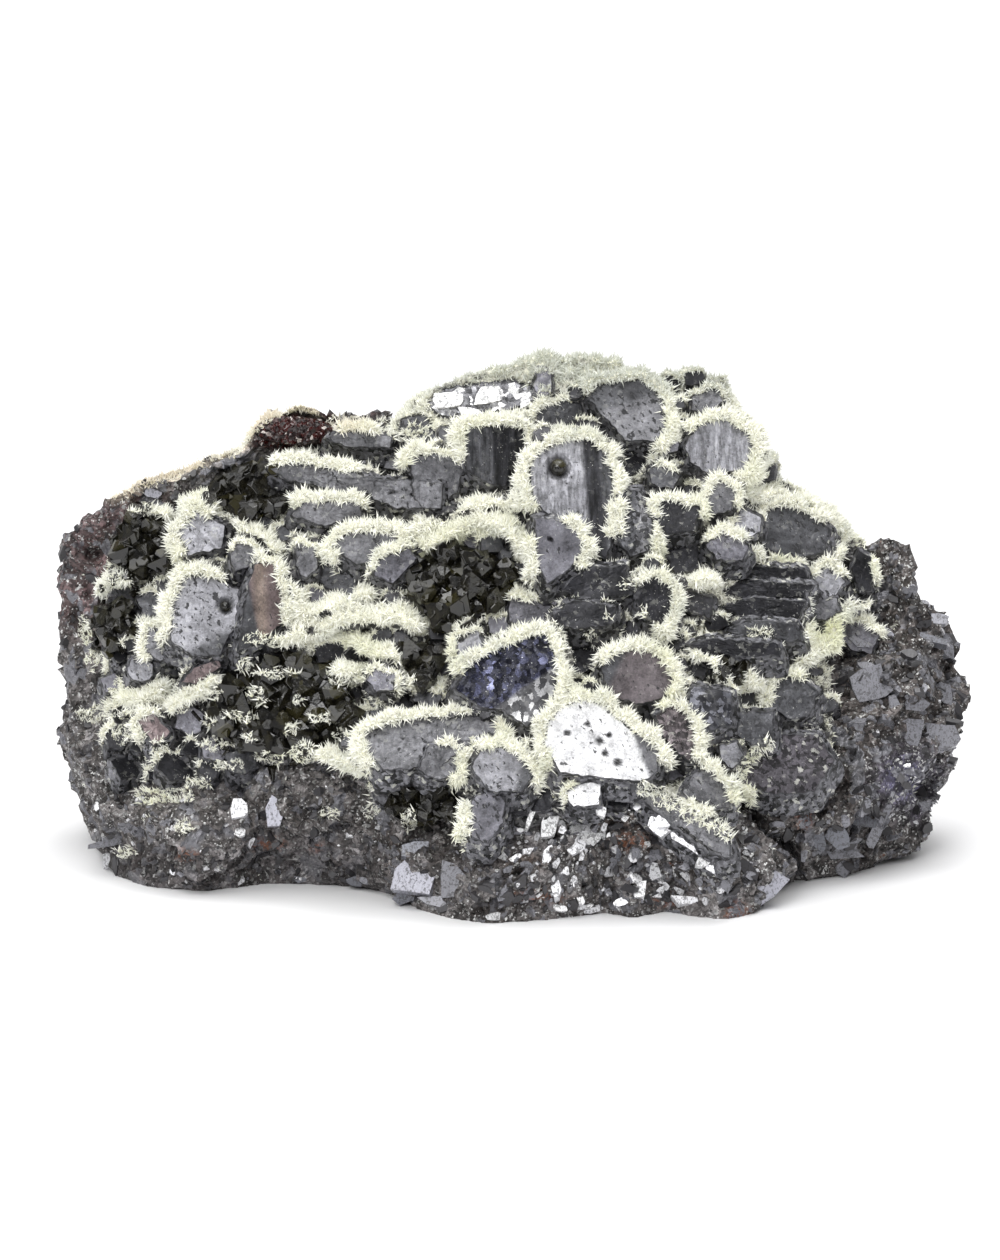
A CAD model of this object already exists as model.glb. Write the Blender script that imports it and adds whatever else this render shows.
import math
import random

import bmesh
import bpy
import numpy as np
from mathutils import Matrix, Vector, noise
from mathutils.bvhtree import BVHTree


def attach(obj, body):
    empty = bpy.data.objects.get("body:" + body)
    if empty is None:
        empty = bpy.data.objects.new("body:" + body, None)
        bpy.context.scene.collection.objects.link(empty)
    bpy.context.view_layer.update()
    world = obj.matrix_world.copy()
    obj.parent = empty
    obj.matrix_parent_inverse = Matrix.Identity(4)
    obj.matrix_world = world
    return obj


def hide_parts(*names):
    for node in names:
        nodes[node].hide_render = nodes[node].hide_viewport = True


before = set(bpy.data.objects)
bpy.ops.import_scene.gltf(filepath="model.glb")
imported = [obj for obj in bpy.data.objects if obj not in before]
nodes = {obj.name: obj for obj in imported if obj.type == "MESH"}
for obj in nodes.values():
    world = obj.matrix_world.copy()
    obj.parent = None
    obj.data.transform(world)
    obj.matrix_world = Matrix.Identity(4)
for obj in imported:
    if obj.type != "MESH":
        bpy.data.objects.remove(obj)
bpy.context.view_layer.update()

mm = 0.001
noise.seed_set(1796024883)  # the broken relief comes out the same every time

# The specimen is laid out on a front view that looks down by this tilt: across, up and deep, in millimetres
viewTilt = math.radians(15)
upView = Vector((0, math.sin(viewTilt), math.cos(viewTilt)))
intoView = Vector((0, math.cos(viewTilt), -math.sin(viewTilt)))

# name: corners on the front view, nod, lean, rise, druse arcs, tone
largeFaces = {
    "silverTall": ([(20.4, 68), (20, 76), (18.8, 83), (15.6, 85.8), (10, 85.4), (5.8, 83.6), (3.6, 80),
                    (4.2, 74),
                    (9.6, 69), (15.2, 65), (18.6, 62.8)], [(-50, 200)], "silver"),
    "violetWedge": ([(14, 64.4), (12.6, 67.6), (8.2, 70), (4.6, 70), (5.2, 62), (7, 57.4), (11.6, 60.4)],
                    [(-40, 80), (150, 235)], "violet"),
    "greySquare": ([(2.6, 88), (-2.4, 88.6), (-9, 88), (-8.8, 80), (-6.4, 78), (-1.4, 76.6), (1.6, 82)],
                   [(20, 190)], "slate"),
    "blueFace": ([(8.8, 41), (6.4, 47.2), (-2, 44.8), (-8.4, 41), (-11.2, 36.4), (-6.2, 33), (-1.2, 32.2),
                  (3, 28.8), (8, 34)], [(-35, 170)], "blue"),
    "mirrorLarge": ([(28.6, 20), (28.6, 25), (24, 27.4), (18, 33), (13.6, 34), (9.6, 32.6), (7.2, 29.6),
                     (6.6, 25),
                     (9.6, 20), (17.6, 19), (25.6, 18.2)], [(-20, 205)], "mirror"),
    "roseFace": ([(30.4, 35), (31.6, 38), (29.6, 42), (25.6, 44), (20.6, 43), (17.6, 40.4), (19.6, 35),
                  (25.6, 33.4)], [(-35, 165)], "rose"),
    "roseNarrow": ([(35.2, 22), (36, 26), (34.6, 31), (31.6, 33), (28.6, 31), (30, 27), (32.6, 24)],
                   [(-60, 120)], "rose"),
    "greyLowRight": ([(43.2, 12.8), (42.4, 16), (40, 19.6), (36.6, 20), (34, 16), (38.6, 13)],
                     [(-30, 110)], "lead"),
    "longPlate": ([(-3, 26.6), (-3.6, 31.6), (-22.4, 29.6), (-29, 27.8), (-28.4, 24), (-25.4, 20.4),
                   (-14.4, 21),
                   (-8.4, 25.6)], [(-20, 200)], "lead"),
    "speckledLow": ([(4, 19), (1.6, 23), (-2.4, 24.6), (-6.4, 24), (-7.8, 21), (-4.4, 16.2), (1.6, 16.2)],
                    [(-20, 145)], "pale"),
    "lilacFoot": ([(-1.4, 15), (-5.4, 16), (-8.2, 14), (-8, 7), (-4.8, 6), (-2, 10)], [(140, 230)], "violet"),
    "pittedLeft": ([(-54.8, 50), (-54.4, 56), (-60.4, 58.4), (-65.2, 58.6), (-67.4, 53), (-68, 46),
                    (-63.4, 43),
                    (-58.4, 43)], [(60, 215)], "pale"),
    "copperPlate": ([(-46.4, 49), (-46, 54), (-48, 61.4), (-51.4, 61), (-52.8, 54), (-54.4, 44), (-50, 46)],
                    [(-40, 95)], "copper"),
    "shelfBlock": ([(-9.8, 81), (-14.4, 83), (-20, 82.4), (-19.4, 74), (-14.4, 72.2), (-10.8, 76)],
                   [(50, 150)], "lead"),
    "shelfLow": ([(-13.8, 77), (-20.4, 78), (-29, 77.4), (-27.4, 74), (-22.4, 72.4), (-14.4, 72.4)], [],
                 "lead"),
    "crownBlock": ([(30, 94), (25.6, 98), (16.6, 97), (15.6, 94), (19.2, 90), (22.6, 86), (28.6, 85.8),
                    (30.6, 88)],
                   [(-50, 155)], "lead"),
    "shoulderBlock": ([(47.2, 87), (42.6, 90), (37.6, 89), (34.6, 85), (35.6, 81.6), (39.6, 79.2), (46, 80),
                       (48, 84)], [(-60, 145)], "pale"),
    "eastBlock": ([(62.6, 63.6), (63.8, 68), (58.6, 71.6), (53.6, 73), (50.6, 71), (49.6, 65), (55.6, 62.4)],
                  [(10, 155), (225, 290)], "slate"),
    "steelBlock": ([(28, 70), (25.6, 76), (20.8, 75), (21, 66), (23.6, 62.8), (27.6, 64)],
                   [(-60, 60), (130, 215)], "slate"),
    "flatDull": ([(64, 22), (61, 27), (52, 27), (46.5, 22), (46, 17.5), (52, 15.5), (60, 16)],
                 [(140, 215)], "plum"),
    "slantedBar": ([(43.4, 3), (42, 8.6), (37, 12), (28, 15.4), (25.4, 15), (32, 9), (38.6, 4)],
                   [(20, 120)], "lead"),
}

# name: across, up, width, height, turn, corners, druse arcs, tone
smallFaces = {
    "crownMirror": (-6.4, 94.2, 21, 6.0, 9, 9, [], "foil"),
    "blueTwin": (-8.6, 44.6, 6.4, 5.2, 25, 5, [(60, 215)], "pale"),
    "mirrorSmall": (14.4, 15.6, 7.6, 5.6, 0, 5, [(110, 200)], "mirror"),
    "plateInner": (-14.6, 22, 8.0, 7.0, 15, 5, [(-60, 100)], "lead"),
    "westKnob": (-61.8, 66.8, 9.6, 8.4, 0, 5, [(60, 225)], "pale"),
    "westSmall": (-53.6, 62.6, 5.0, 5.6, 0, 5, [(0, 150)], "lead"),
    "paleKnob": (-70.4, 45.2, 5.6, 7.6, 10, 5, [(90, 225)], "pale"),
    "paleBall": (-74.2, 40, 5.0, 5.0, 0, 7, [], "pale"),
    "copperStrip": (-62, 39.4, 9.0, 2.6, 27, 5, [], "copper"),
    "copperCube": (-71.6, 28.4, 5.2, 6.6, 40, 4, [(80, 225)], "copper"),
    "shelfTop": (-30, 86.0, 14, 3.0, -3, 5, [(15, 165)], "lead"),
    "shelfLong": (-37, 78.2, 23, 3.8, -9, 7, [(8, 170)], "lead"),
    "shelfMiddle": (-36.4, 71.2, 15, 4.6, 2, 5, [(10, 170)], "lead"),
    "shelfDeep": (-29, 64.6, 14, 6.4, 6, 5, [(10, 195)], "lead"),
    "shelfFoot": (-23, 61, 8.6, 5.0, 35, 5, [(50, 200)], "violet"),
    "crownChip": (6.4, 97.4, 4.0, 5.6, 0, 5, [], "violet"),
    "shoulderChip": (38.8, 93.6, 7.2, 4.6, 30, 5, [(20, 160)], "lead"),
    "darkNotch": (30.2, 78.4, 6.0, 4.4, -20, 5, [(20, 120)], "slate"),
    "darkCap": (33, 70.4, 9.4, 6.8, 0, 5, [(10, 150)], "coal"),
    "slateKnob": (41.6, 74.2, 5.4, 6.6, -20, 5, [(-20, 200)], "lead"),
    "paleDisc": (47, 69.4, 5.4, 5.2, 0, 5, [(140, 260)], "pale"),
    "slateLow": (43, 64.4, 8.2, 5.2, -15, 5, [(20, 160)], "violet"),
    "darkDome": (28.4, 54, 6.6, 9.0, 0, 7, [(-85, 130)], "coal"),
    "coalUpper": (17, 57.4, 14, 6.4, 5, 5, [], "coal"),
    "coalLower": (14, 50.8, 13, 5.4, 0, 5, [], "coal"),
    "lamella1": (51, 59.4, 17, 3.0, 0, 5, [], "coal"),
    "lamella2": (51.6, 56.0, 18, 3.4, 0, 5, [], "coal"),
    "lamella3": (50.6, 52.0, 16, 4.4, 0, 5, [], "coal"),
    "lamella4": (50.8, 47.6, 15, 4.2, -2, 5, [], "slate"),
    "lamella5": (45, 44.4, 20, 3.0, -3, 5, [], "coal"),
    "eastCube": (63.4, 57.2, 7.0, 6.4, 45, 4, [(20, 200)], "pale"),
    "eastWedge": (62.4, 52.0, 7.0, 3.6, 25, 5, [], "lead"),
    "eastSliver": (70.6, 59.6, 4.0, 8.4, 0, 5, [(-40, 60)], "coal"),
    "skyKnob": (39.2, 32.4, 9.8, 9.2, 0, 5, [], "blueGrey"),
    "crackedBlock": (47.6, 28.6, 9.4, 7.2, 10, 5, [], "slate"),
    "fanChip": (43.2, 23.4, 4.6, 5.0, 30, 5, [], "pale"),
    "roundEast": (56.2, 34.4, 8.2, 8.0, -20, 7, [(60, 200)], "slate"),
    "ashCap": (-25.8, 37.8, 5.4, 4.6, 0, 5, [(-30, 150)], "violet"),
    "northChip": (-41, 62, 4.6, 6.6, 10, 5, [(20, 120)], "lead"),
}

# Druse ridges with no face of their own: points on the front view, then width
ridges = [
    ([(-23.2, 58.6), (-17.4, 64.4), (-11.4, 68), (-5.6, 70.2), (-0.8, 68.4), (2.4, 64)], 5.2),
    ([(-30.6, 59.8), (-22.4, 65), (-14.4, 71), (-6.4, 73), (2.6, 74)], 4.4),
    ([(-59.2, 70), (-54.2, 68.2), (-49.3, 65.8), (-46, 61), (-42.6, 54), (-40.4, 49)], 4.6),
    ([(-69.4, 31.6), (-65, 35.2), (-58, 38.2)], 3.6),
    ([(-53.6, 43.2), (-49.8, 46), (-43.4, 47.2), (-36.4, 48.2)], 4.8),
    ([(-41.3, 50), (-37, 52.4), (-32.2, 54.8), (-27.3, 55.6)], 3.6),
    ([(-36, 50), (-28.6, 50.6), (-22.2, 51), (-18.6, 48.4)], 5.4),
    ([(-31, 46), (-27.5, 43.6), (-22.4, 43.4), (-22.6, 39)], 4.2),
    ([(-27.5, 34.2), (-23.4, 36.4), (-19.6, 38.2), (-15.2, 38.0)], 3.6),
    ([(-37.2, 38.6), (-33.6, 40.2), (-30, 39.4)], 3.8),
    ([(-45.4, 25.6), (-41, 26.2), (-37.6, 23.8), (-32.4, 21.6), (-27.4, 20.6)], 4.2),
    ([(-76, 13.6), (-73, 15.6), (-69.5, 16.4), (-66, 15.8), (-63.4, 18)], 3.4),
    ([(-86.4, 19.6), (-83, 18.8), (-79.6, 17.2)], 3.0),
    ([(-87, 28.6), (-85, 31.2), (-81.6, 33.2)], 3.4),
    ([(-86, 35.7), (-83, 39.4), (-81.2, 42)], 3.2),
    ([(-78.4, 34.6), (-73.6, 34), (-69.6, 37.2)], 4.0),
    ([(-83.4, 55.4), (-80.2, 58), (-76, 58.8)], 3.4),
    ([(-77.2, 70.2), (-73.8, 72), (-68.4, 71.4)], 3.2),
    ([(-66.5, 73), (-61.9, 74.2), (-56.4, 72.8)], 3.2),
    ([(-60, 79.8), (-54, 80.6), (-48.6, 82)], 3.4),
    ([(28.6, 82), (33.6, 80), (37.4, 78)], 3.4),
    ([(46, 76.6), (49.6, 74.6), (54, 75.6)], 3.4),
    ([(40.2, 70.8), (44.2, 68), (47.2, 65), (51.6, 61.6)], 3.2),
    ([(60, 74), (64, 71), (67.4, 67.6)], 3.6),
    ([(55, 63.2), (60.4, 63.6), (64.8, 63.4), (69, 62.8)], 4.2),
    ([(60.4, 61.4), (59.2, 55.6), (58.8, 50.4), (59.4, 45)], 3.4),
    ([(57.1, 41.8), (60.8, 43.6), (64.6, 46), (64.2, 50.6), (68, 53.4), (72.4, 54)], 4.2),
    ([(44.4, 43.0), (46.6, 40.8), (48.2, 37.4), (51.4, 37.2)], 2.8),
    ([(36, 43.4), (39.6, 42.6), (42.2, 38.8), (45, 36.4)], 3.2),
    ([(51.8, 31.4), (54.2, 29.2), (57.4, 29), (61, 31.2)], 2.8),
    ([(-17.6, 9.6), (-13.4, 8), (-9.4, 6.6)], 3.4),
    ([(-29, 13), (-25.8, 11), (-24.6, 8.6)], 3.2),
    ([(36, 57.6), (38.8, 58.6), (41, 57.4)], 3.0),
]

# tone: colour, metallic share, roughness
tones = {
    "silver": ((0.29, 0.29, 0.31), 0.45, 0.40),
    "violet": ((0.148, 0.146, 0.166), 0.45, 0.46),
    "slate": ((0.078, 0.079, 0.086), 0.45, 0.44),
    "blue": ((0.034, 0.036, 0.062), 0.6, 0.26),
    "mirror": ((0.80, 0.80, 0.81), 0.15, 0.24),
    "rose": ((0.125, 0.108, 0.114), 0.4, 0.46),
    "lead": ((0.150, 0.150, 0.160), 0.45, 0.46),
    "pale": ((0.255, 0.255, 0.275), 0.45, 0.46),
    "bronze": ((0.26, 0.205, 0.175), 0.4, 0.34),
    "copper": ((0.165, 0.128, 0.128), 0.4, 0.34),
    "plum": ((0.062, 0.057, 0.065), 0.35, 0.52),
    "coal": ((0.024, 0.024, 0.028), 0.5, 0.40),
    "blueGrey": ((0.10, 0.102, 0.122), 0.5, 0.38),
    "foil": ((0.34, 0.34, 0.36), 0.6, 0.25),
    "druse": ((0.72, 0.71, 0.60), 0.0, 0.6),
    "flank": ((0.090, 0.090, 0.098), 0.40, 0.48),
    "crevice": ((0.055, 0.054, 0.055), 0.2, 0.6),
}

# how the face of a large crystal is carved, where it isn't stepped
carvings = {"silverTall": "streaked", "blueFace": "celled", "pittedLeft": "pitted", "speckledLow": "pitted",
            "mirrorLarge": "specked", "mirrorSmall": "specked", "crownMirror": "celled",
            "roseFace": "smooth", "copperPlate": "smooth",
            "violetWedge": "smooth", "eastBlock": "pitted", "lilacFoot": "pitted",
            "crownBlock": "pitted", "shoulderBlock": "streaked", "greySquare": "streaked",
            "skyKnob": "celled",
            "flatDull": "gritty", "steelBlock": "gritty", "roseNarrow": "gritty"}

# how much each way of carving shows as slanted pits, as small cells, as streaks and as grit
styles = {"pitted": (1.0, 0, 0, 0.15), "celled": (0, 1.0, 0, 0.1), "streaked": (0.2, 0, 1.0, 0.1),
          "smooth": (0.2, 0, 0, 0.1), "stepped": (0.45, 0, 0.25, 0.25), "specked": (0.55, 0, 0, 0.05),
          "gritty": (0.5, 0, 0.2, 0.8)}

# parts of a face with another tone: the way across and up, how far along it the part starts, softness, tone
shades = {
    "silverTall": [(0.3, -1.0, -72.5, 6.0, "pale"), (1.0, 0.08, 20.8, 0.8, "coal"),
                   (1.0, 0.08, 24.0, 0.8, "slate")],
    "blueFace": [(0.57, -0.82, -28.6, 0.5, "lead")],
    "greySquare": [(1.0, 0.1, 4.4, 0.8, "coal")],
    "mirrorLarge": [(1.0, 0.35, 33.6, 0.7, "lead")],
    "mirrorSmall": [(-0.6, 1.0, 9.2, 0.6, "lead")],
    "crownBlock": [(-0.3, 1.0, 86.6, 0.8, "slate")],
    "pittedLeft": [(0.5, -1.0, -76.0, 1.5, "slate")],
    "longPlate": [(0.2, -1.0, -25.0, 0.8, "slate")],
    "copperPlate": [(1.0, 0.05, -48.6, 1.4, "bronze"), (1.0, 0.05, -46.2, 1.6, "copper"),
                    (-1.0, -0.2, 41.0, 0.7, "slate")],
    "roseFace": [(-1.0, 0.5, -0.8, 1.0, "slate")],
    "speckledLow": [(1.0, -0.3, -4.6, 1.2, "slate")],
    "steelBlock": [(1.0, 0.0, 24.8, 0.5, "lead")],
}

# dark pits in a face: across, up, radius
pits = {
    "mirrorLarge": [(15, 29.4, 0.5), (10.9, 27.6, 0.6), (17.3, 26, 0.7), (19.2, 27.2, 0.5), (20.9, 21.8, 0.8),
                    (18.4, 23.6, 0.6)],
    "silverTall": [(9.2, 80.4, 2.1)],
    "pittedLeft": [(-57.2, 52.8, 1.5)],
    "shelfLow": [(-19.5, 75, 0.4), (-24, 75.5, 0.4)],
    "violetWedge": [(7.6, 66, 0.4)],
}


class Wire:
    # a socket of a node tree that can be used in sums
    def __init__(self, shader, socket):
        self.shader = shader
        self.socket = socket

    def maths(self, operation, *others):
        return self.shader.node("ShaderNodeMath", {"operation": operation}, dict(enumerate((self, *others))))

    def __add__(self, other):
        return self.maths("ADD", other)

    def __sub__(self, other):
        return self.maths("SUBTRACT", other)

    def __mul__(self, other):
        return self.maths("MULTIPLY", other)

    def __rsub__(self, other):
        return self.shader.node("ShaderNodeMath", {"operation": "SUBTRACT"}, {0: other, 1: self})

    __radd__ = __add__
    __rmul__ = __mul__

    def clamped(self):
        return self.shader.node("ShaderNodeMath", {"operation": "ADD", "use_clamp": True}, {0: self, 1: 0.0})

    def step(self, low, high):
        # 0 below low, 1 above high, soft between
        settings = {"interpolation_type": "SMOOTHSTEP"}
        return self.shader.node("ShaderNodeMapRange", settings,
                                {"Value": self, "From Min": low, "From Max": high})


class Shader:
    def __init__(self, name, **constants):
        self.material = bpy.data.materials.new(name)
        self.material.use_nodes = True
        self.tree = self.material.node_tree
        self.surface = self.tree.nodes["Principled BSDF"]
        for socket, value in constants.items():
            self.surface.inputs[socket.replace("_", " ")].default_value = value

    def node(self, kind, settings=None, inputs=None, output=0):
        made = self.tree.nodes.new(kind)
        for key, value in (settings or {}).items():
            setattr(made, key, value)
        for key, value in (inputs or {}).items():
            if isinstance(value, Wire):
                self.tree.links.new(value.socket, made.inputs[key])
            else:
                made.inputs[key].default_value = value
        return Wire(self, made.outputs[output])

    def mix(self, factor, first, second, blend="MIX"):
        settings = {"data_type": "RGBA", "blend_type": blend}
        return self.node("ShaderNodeMix", settings, {0: factor, 6: rgba(first), 7: rgba(second)}, 2)

    def attribute(self, name, output="Fac"):
        return self.node("ShaderNodeAttribute", {"attribute_name": name}, None, output)

    def place(self, stretch=(1, 1, 1)):
        # position on the object in millimetres, stretched
        spot = self.node("ShaderNodeTexCoord", None, None, "Object")
        scale = tuple(1000 * s for s in stretch)
        return self.node("ShaderNodeVectorMath", {"operation": "MULTIPLY"}, {0: spot, 1: scale})

    def noise(self, scale, detail=3, roughness=0.55, where=None, output=0):
        inputs = {"Vector": where or self.place(), "Scale": scale, "Detail": detail, "Roughness": roughness}
        return self.node("ShaderNodeTexNoise", None, inputs, output)

    def cells(self, scale, where=None):
        # a random colour for each cell
        inputs = {"Vector": where or self.place(), "Scale": scale}
        return self.node("ShaderNodeTexVoronoi", None, inputs, "Color")

    def bump(self, height, strength, distance, under=None):
        inputs = {"Height": height, "Strength": strength, "Distance": distance}
        if under:
            inputs["Normal"] = under
        return self.node("ShaderNodeBump", None, inputs)

    def facetNormal(self, scale, amount, where=None):
        # every cell of a Voronoi pattern leans its own way, like small cleavage faces
        lean = self.cells(scale, where)
        lean = self.node("ShaderNodeVectorMath", {"operation": "SUBTRACT"}, {0: lean, 1: (0.5, 0.5, 0.5)})
        spread = self.node("ShaderNodeVectorMath", {"operation": "SCALE"}, {0: lean, "Scale": amount})
        straight = self.node("ShaderNodeNewGeometry", None, None, "Normal")
        summed = self.node("ShaderNodeVectorMath", {"operation": "ADD"}, {0: straight, 1: spread})
        return self.node("ShaderNodeVectorMath", {"operation": "NORMALIZE"}, {0: summed})

    def feed(self, **sockets):
        for socket, value in sockets.items():
            self.tree.links.new(value.socket, self.surface.inputs[socket.replace("_", " ")])
        return self.material


def rgba(value):
    return value if isinstance(value, Wire) or len(value) == 4 else (*value, 1)


def galenaMaterial():
    shader = Shader("galenaGrey")
    tone = shader.attribute("tone", "Color")
    metal, rough, busy = (shader.attribute(name) for name in ("metal", "rough", "busy"))
    style = shader.attribute("style", "Color")
    pitted, celled, streaked = (shader.node("ShaderNodeSeparateColor", None, {0: style}, k) for k in range(3))
    cloud = shader.noise(0.25, 4, 0.62)
    fine = shader.noise(2.4, 4, 0.7)
    streak = shader.noise(1.5, 3, 0.6, shader.place((1, 0.3, 0.10)))
    middling = shader.noise(0.9, 3, 0.6)
    shade = (cloud * 1.1 + middling * 0.9 + fine * 1.2 - 1.1 + (streak - 0.5) * streaked * 2.4).clamped()
    colour = shader.mix(1.0, tone, shader.mix(shade, (0.38, 0.38, 0.38), (1.62, 1.62, 1.64)), "MULTIPLY")
    wander = shader.node("ShaderNodeVectorMath", {"operation": "SCALE"},
                         {0: shader.noise(0.9, 3, 0.6, None, 1), "Scale": 1.6})
    loose = shader.node("ShaderNodeVectorMath", {"operation": "ADD"}, {0: shader.place(), 1: wander})
    cell = shader.node("ShaderNodeSeparateColor", None, {0: shader.cells(0.85, loose)}, 0)
    lit = shader.mix(cell.step(0.60, 1.0), (0.38, 0.38, 0.38), (4.0, 4.0, 3.8))
    colour = shader.mix(celled, colour, shader.mix(1.0, colour, lit, "MULTIPLY"))
    grit = shader.node("ShaderNodeSeparateColor", None, {0: shader.cells(1.25, loose)}, 0)
    gritty = shader.mix(grit.step(0.10, 0.75), (0.10, 0.10, 0.10), (1.9, 1.9, 1.9))
    gritty = shader.mix(1.0, colour, gritty, "MULTIPLY")
    gritty = shader.mix(grit.step(0.90, 0.93) * cloud.step(0.40, 0.55), gritty, (0.50, 0.50, 0.46))
    colour = shader.mix(busy, colour, gritty)
    slanted = shader.node("ShaderNodeVectorRotate", {"rotation_type": "Y_AXIS"},
                          {"Vector": shader.place(), "Angle": 0.5})
    slanted = shader.node("ShaderNodeVectorMath", {"operation": "MULTIPLY"}, {0: slanted, 1: (1, 1, 0.42)})
    hole = (shader.noise(0.95, 3, 0.6, slanted) + pitted * 0.09).step(0.665, 0.70) * pitted.step(0.0, 0.1)
    specks = (hole + shader.noise(1.7, 2, 0.5).step(0.67, 0.72) * 0.8).clamped()
    colour = shader.mix(specks * 0.9, colour, (0.018, 0.018, 0.020))
    frost = shader.noise(2.6, 2, 0.5).step(0.66, 0.71) * (cloud + middling).step(0.95, 1.15)
    colour = shader.mix((frost * metal * 1.7).clamped(), colour, (0.52, 0.52, 0.50))
    roughness = (rough + (fine - 0.5) * 0.35 + specks * 0.3).clamped()
    relief = fine * 0.35 - specks * 0.8 + streak * streaked * 0.9 + grit * busy * 0.8
    normal = shader.bump(relief, 0.45, 0.00022, shader.facetNormal(0.85, celled * 0.7, loose))
    metallic = (metal * (1 - specks)).clamped()
    return shader.feed(Base_Color=colour, Metallic=metallic, Roughness=roughness, Normal=normal)


def oreMaterial():
    shader = Shader("oreBroken")
    tone = shader.attribute("tone", "Color")
    shiny = shader.attribute("metal")
    wander = shader.noise(0.5, 3, 0.6, None, 1)
    spread = shader.node("ShaderNodeVectorMath", {"operation": "SCALE"}, {0: wander, "Scale": 2.4})
    where = shader.node("ShaderNodeVectorMath", {"operation": "ADD"}, {0: shader.place(), 1: spread})
    coarse = shader.cells(0.55, where)
    grain = shader.cells(1.7, where)
    pick = shader.node("ShaderNodeSeparateColor", None, {0: coarse}, 0)
    pickToo = shader.node("ShaderNodeSeparateColor", None, {0: coarse}, 1)
    fine = shader.node("ShaderNodeSeparateColor", None, {0: grain}, 0)
    fineToo = shader.node("ShaderNodeSeparateColor", None, {0: grain}, 1)
    dots = shader.node("ShaderNodeSeparateColor", None, {0: shader.cells(3.4)}, 0)
    patch = shader.noise(0.12, 3, 0.6)
    wide = shader.cells(0.27, where)
    widePick = shader.node("ShaderNodeSeparateColor", None, {0: wide}, 0)
    wideToo = shader.node("ShaderNodeSeparateColor", None, {0: wide}, 1)
    cleaved = (pick.step(0.80, 0.83) + widePick.step(0.84, 0.86)).clamped() * patch.step(0.42, 0.54) * shiny
    glint = (fineToo.step(0.90, 0.93) + dots.step(0.93, 0.95) * 0.8).clamped() * (1 - cleaved)
    colour = shader.mix(1.0, tone, shader.mix(fine, (0.22, 0.21, 0.21), (1.9, 1.88, 1.9)), "MULTIPLY")
    colour = shader.mix(1.0, colour, shader.mix(pickToo, (0.40, 0.38, 0.37), (1.55, 1.55, 1.55)), "MULTIPLY")
    colour = shader.mix(1.0, colour, shader.mix(wideToo, (0.50, 0.47, 0.45), (1.45, 1.45, 1.47)), "MULTIPLY")
    broad = shader.noise(0.2, 4, 0.7).step(0.36, 0.62)
    colour = shader.mix(1.0, colour, shader.mix(broad, (0.48, 0.46, 0.44), (1.22, 1.22, 1.22)), "MULTIPLY")
    colour = shader.mix(cleaved * 0.9, colour, (0.20, 0.20, 0.22))
    colour = shader.mix(glint * shiny * 0.8, colour, (0.62, 0.62, 0.61))
    rust = shader.attribute("rust") * fine.step(0.15, 0.7) * shader.noise(0.9, 3, 0.6).step(0.42, 0.55)
    rust = (rust + shader.noise(0.16, 4, 0.7).step(0.67, 0.73) * fine.step(0.2, 0.6) * 0.8).clamped()
    colour = shader.mix(rust * 0.7, colour, (0.20, 0.062, 0.020))
    metallic = ((cleaved * 0.5 + glint * 0.6) * shiny).clamped()
    roughness = (0.58 - cleaved * 0.22 - glint * 0.3 + rust * 0.2 - fine * 0.12).clamped()
    normal = shader.bump(shader.noise(2.0, 4, 0.65), 0.6, 0.0003, shader.facetNormal(1.7, 0.7, where))
    return shader.feed(Base_Color=colour, Metallic=metallic, Roughness=roughness, Normal=normal)


def druseMaterial():
    shader = Shader("druseCream", IOR=1.5, Roughness=0.45, Emission_Strength=0.10)
    tint = shader.attribute("tint", "Color")
    along = shader.attribute("along")
    colour = shader.mix(along.step(0.0, 0.5), shader.mix(1.0, tint, (0.68, 0.67, 0.55), "MULTIPLY"), tint)
    return shader.feed(Base_Color=colour, Emission_Color=colour)


def sphaleriteMaterial():
    shader = Shader("sphaleriteBlack", IOR=1.55, Coat_Weight=0.1)
    pick = shader.node("ShaderNodeSeparateColor", None, {0: shader.cells(0.32)}, 0)
    cloud = shader.noise(0.5, 3)
    colour = shader.mix(cloud.step(0.35, 0.75), (0.0045, 0.004, 0.0035), (0.020, 0.018, 0.010))
    colour = shader.mix(pick.step(0.88, 0.95) * 0.6, colour, (0.045, 0.040, 0.014))
    rough = (shader.noise(1.8, 3) * 0.30 + 0.02).clamped()
    normal = shader.bump(shader.noise(1.2, 3), 0.4, 0.0002)
    return shader.feed(Base_Color=colour, Roughness=rough, Normal=normal)


def liningMaterial():
    shader = Shader("hollowRed", IOR=1.6)
    pick = shader.node("ShaderNodeSeparateColor", None, {0: shader.cells(1.2)}, 0)
    colour = shader.mix(pick.step(0.3, 0.8), (0.010, 0.002, 0.002), (0.050, 0.007, 0.006))
    colour = shader.mix(pick.step(0.93, 0.96), colour, (0.6, 0.55, 0.52))
    normal = shader.facetNormal(1.2, 0.8)
    return shader.feed(Base_Color=colour, Roughness=(0.5 - pick * 0.35).clamped(), Normal=normal)


def cleavageMaterial():
    shader = Shader("cleavageBright")
    tone = shader.attribute("tone", "Color")
    fine = shader.noise(1.5, 4, 0.65)
    lines = shader.noise(1.2, 3, 0.5, shader.place((1, 0.3, 0.3)))
    colour = shader.mix(1.0, tone, shader.mix(fine, (0.60, 0.60, 0.61), (1.45, 1.45, 1.46)), "MULTIPLY")
    streak = shader.noise(2.4, 3, 0.6, shader.place((1, 0.25, 0.6))).step(0.53, 0.62)
    dirt = (shader.noise(1.5, 4, 0.65).step(0.54, 0.60) + streak * 0.7).clamped()
    colour = shader.mix(dirt * 0.7, colour, (0.03, 0.028, 0.028))
    normal = shader.bump(lines + fine * 0.5, 0.30, 0.0002)
    return shader.feed(Base_Color=colour, Metallic=0.30 - dirt * 0.3,
                       Roughness=(fine * 0.3 + 0.2).clamped(), Normal=normal)


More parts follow.
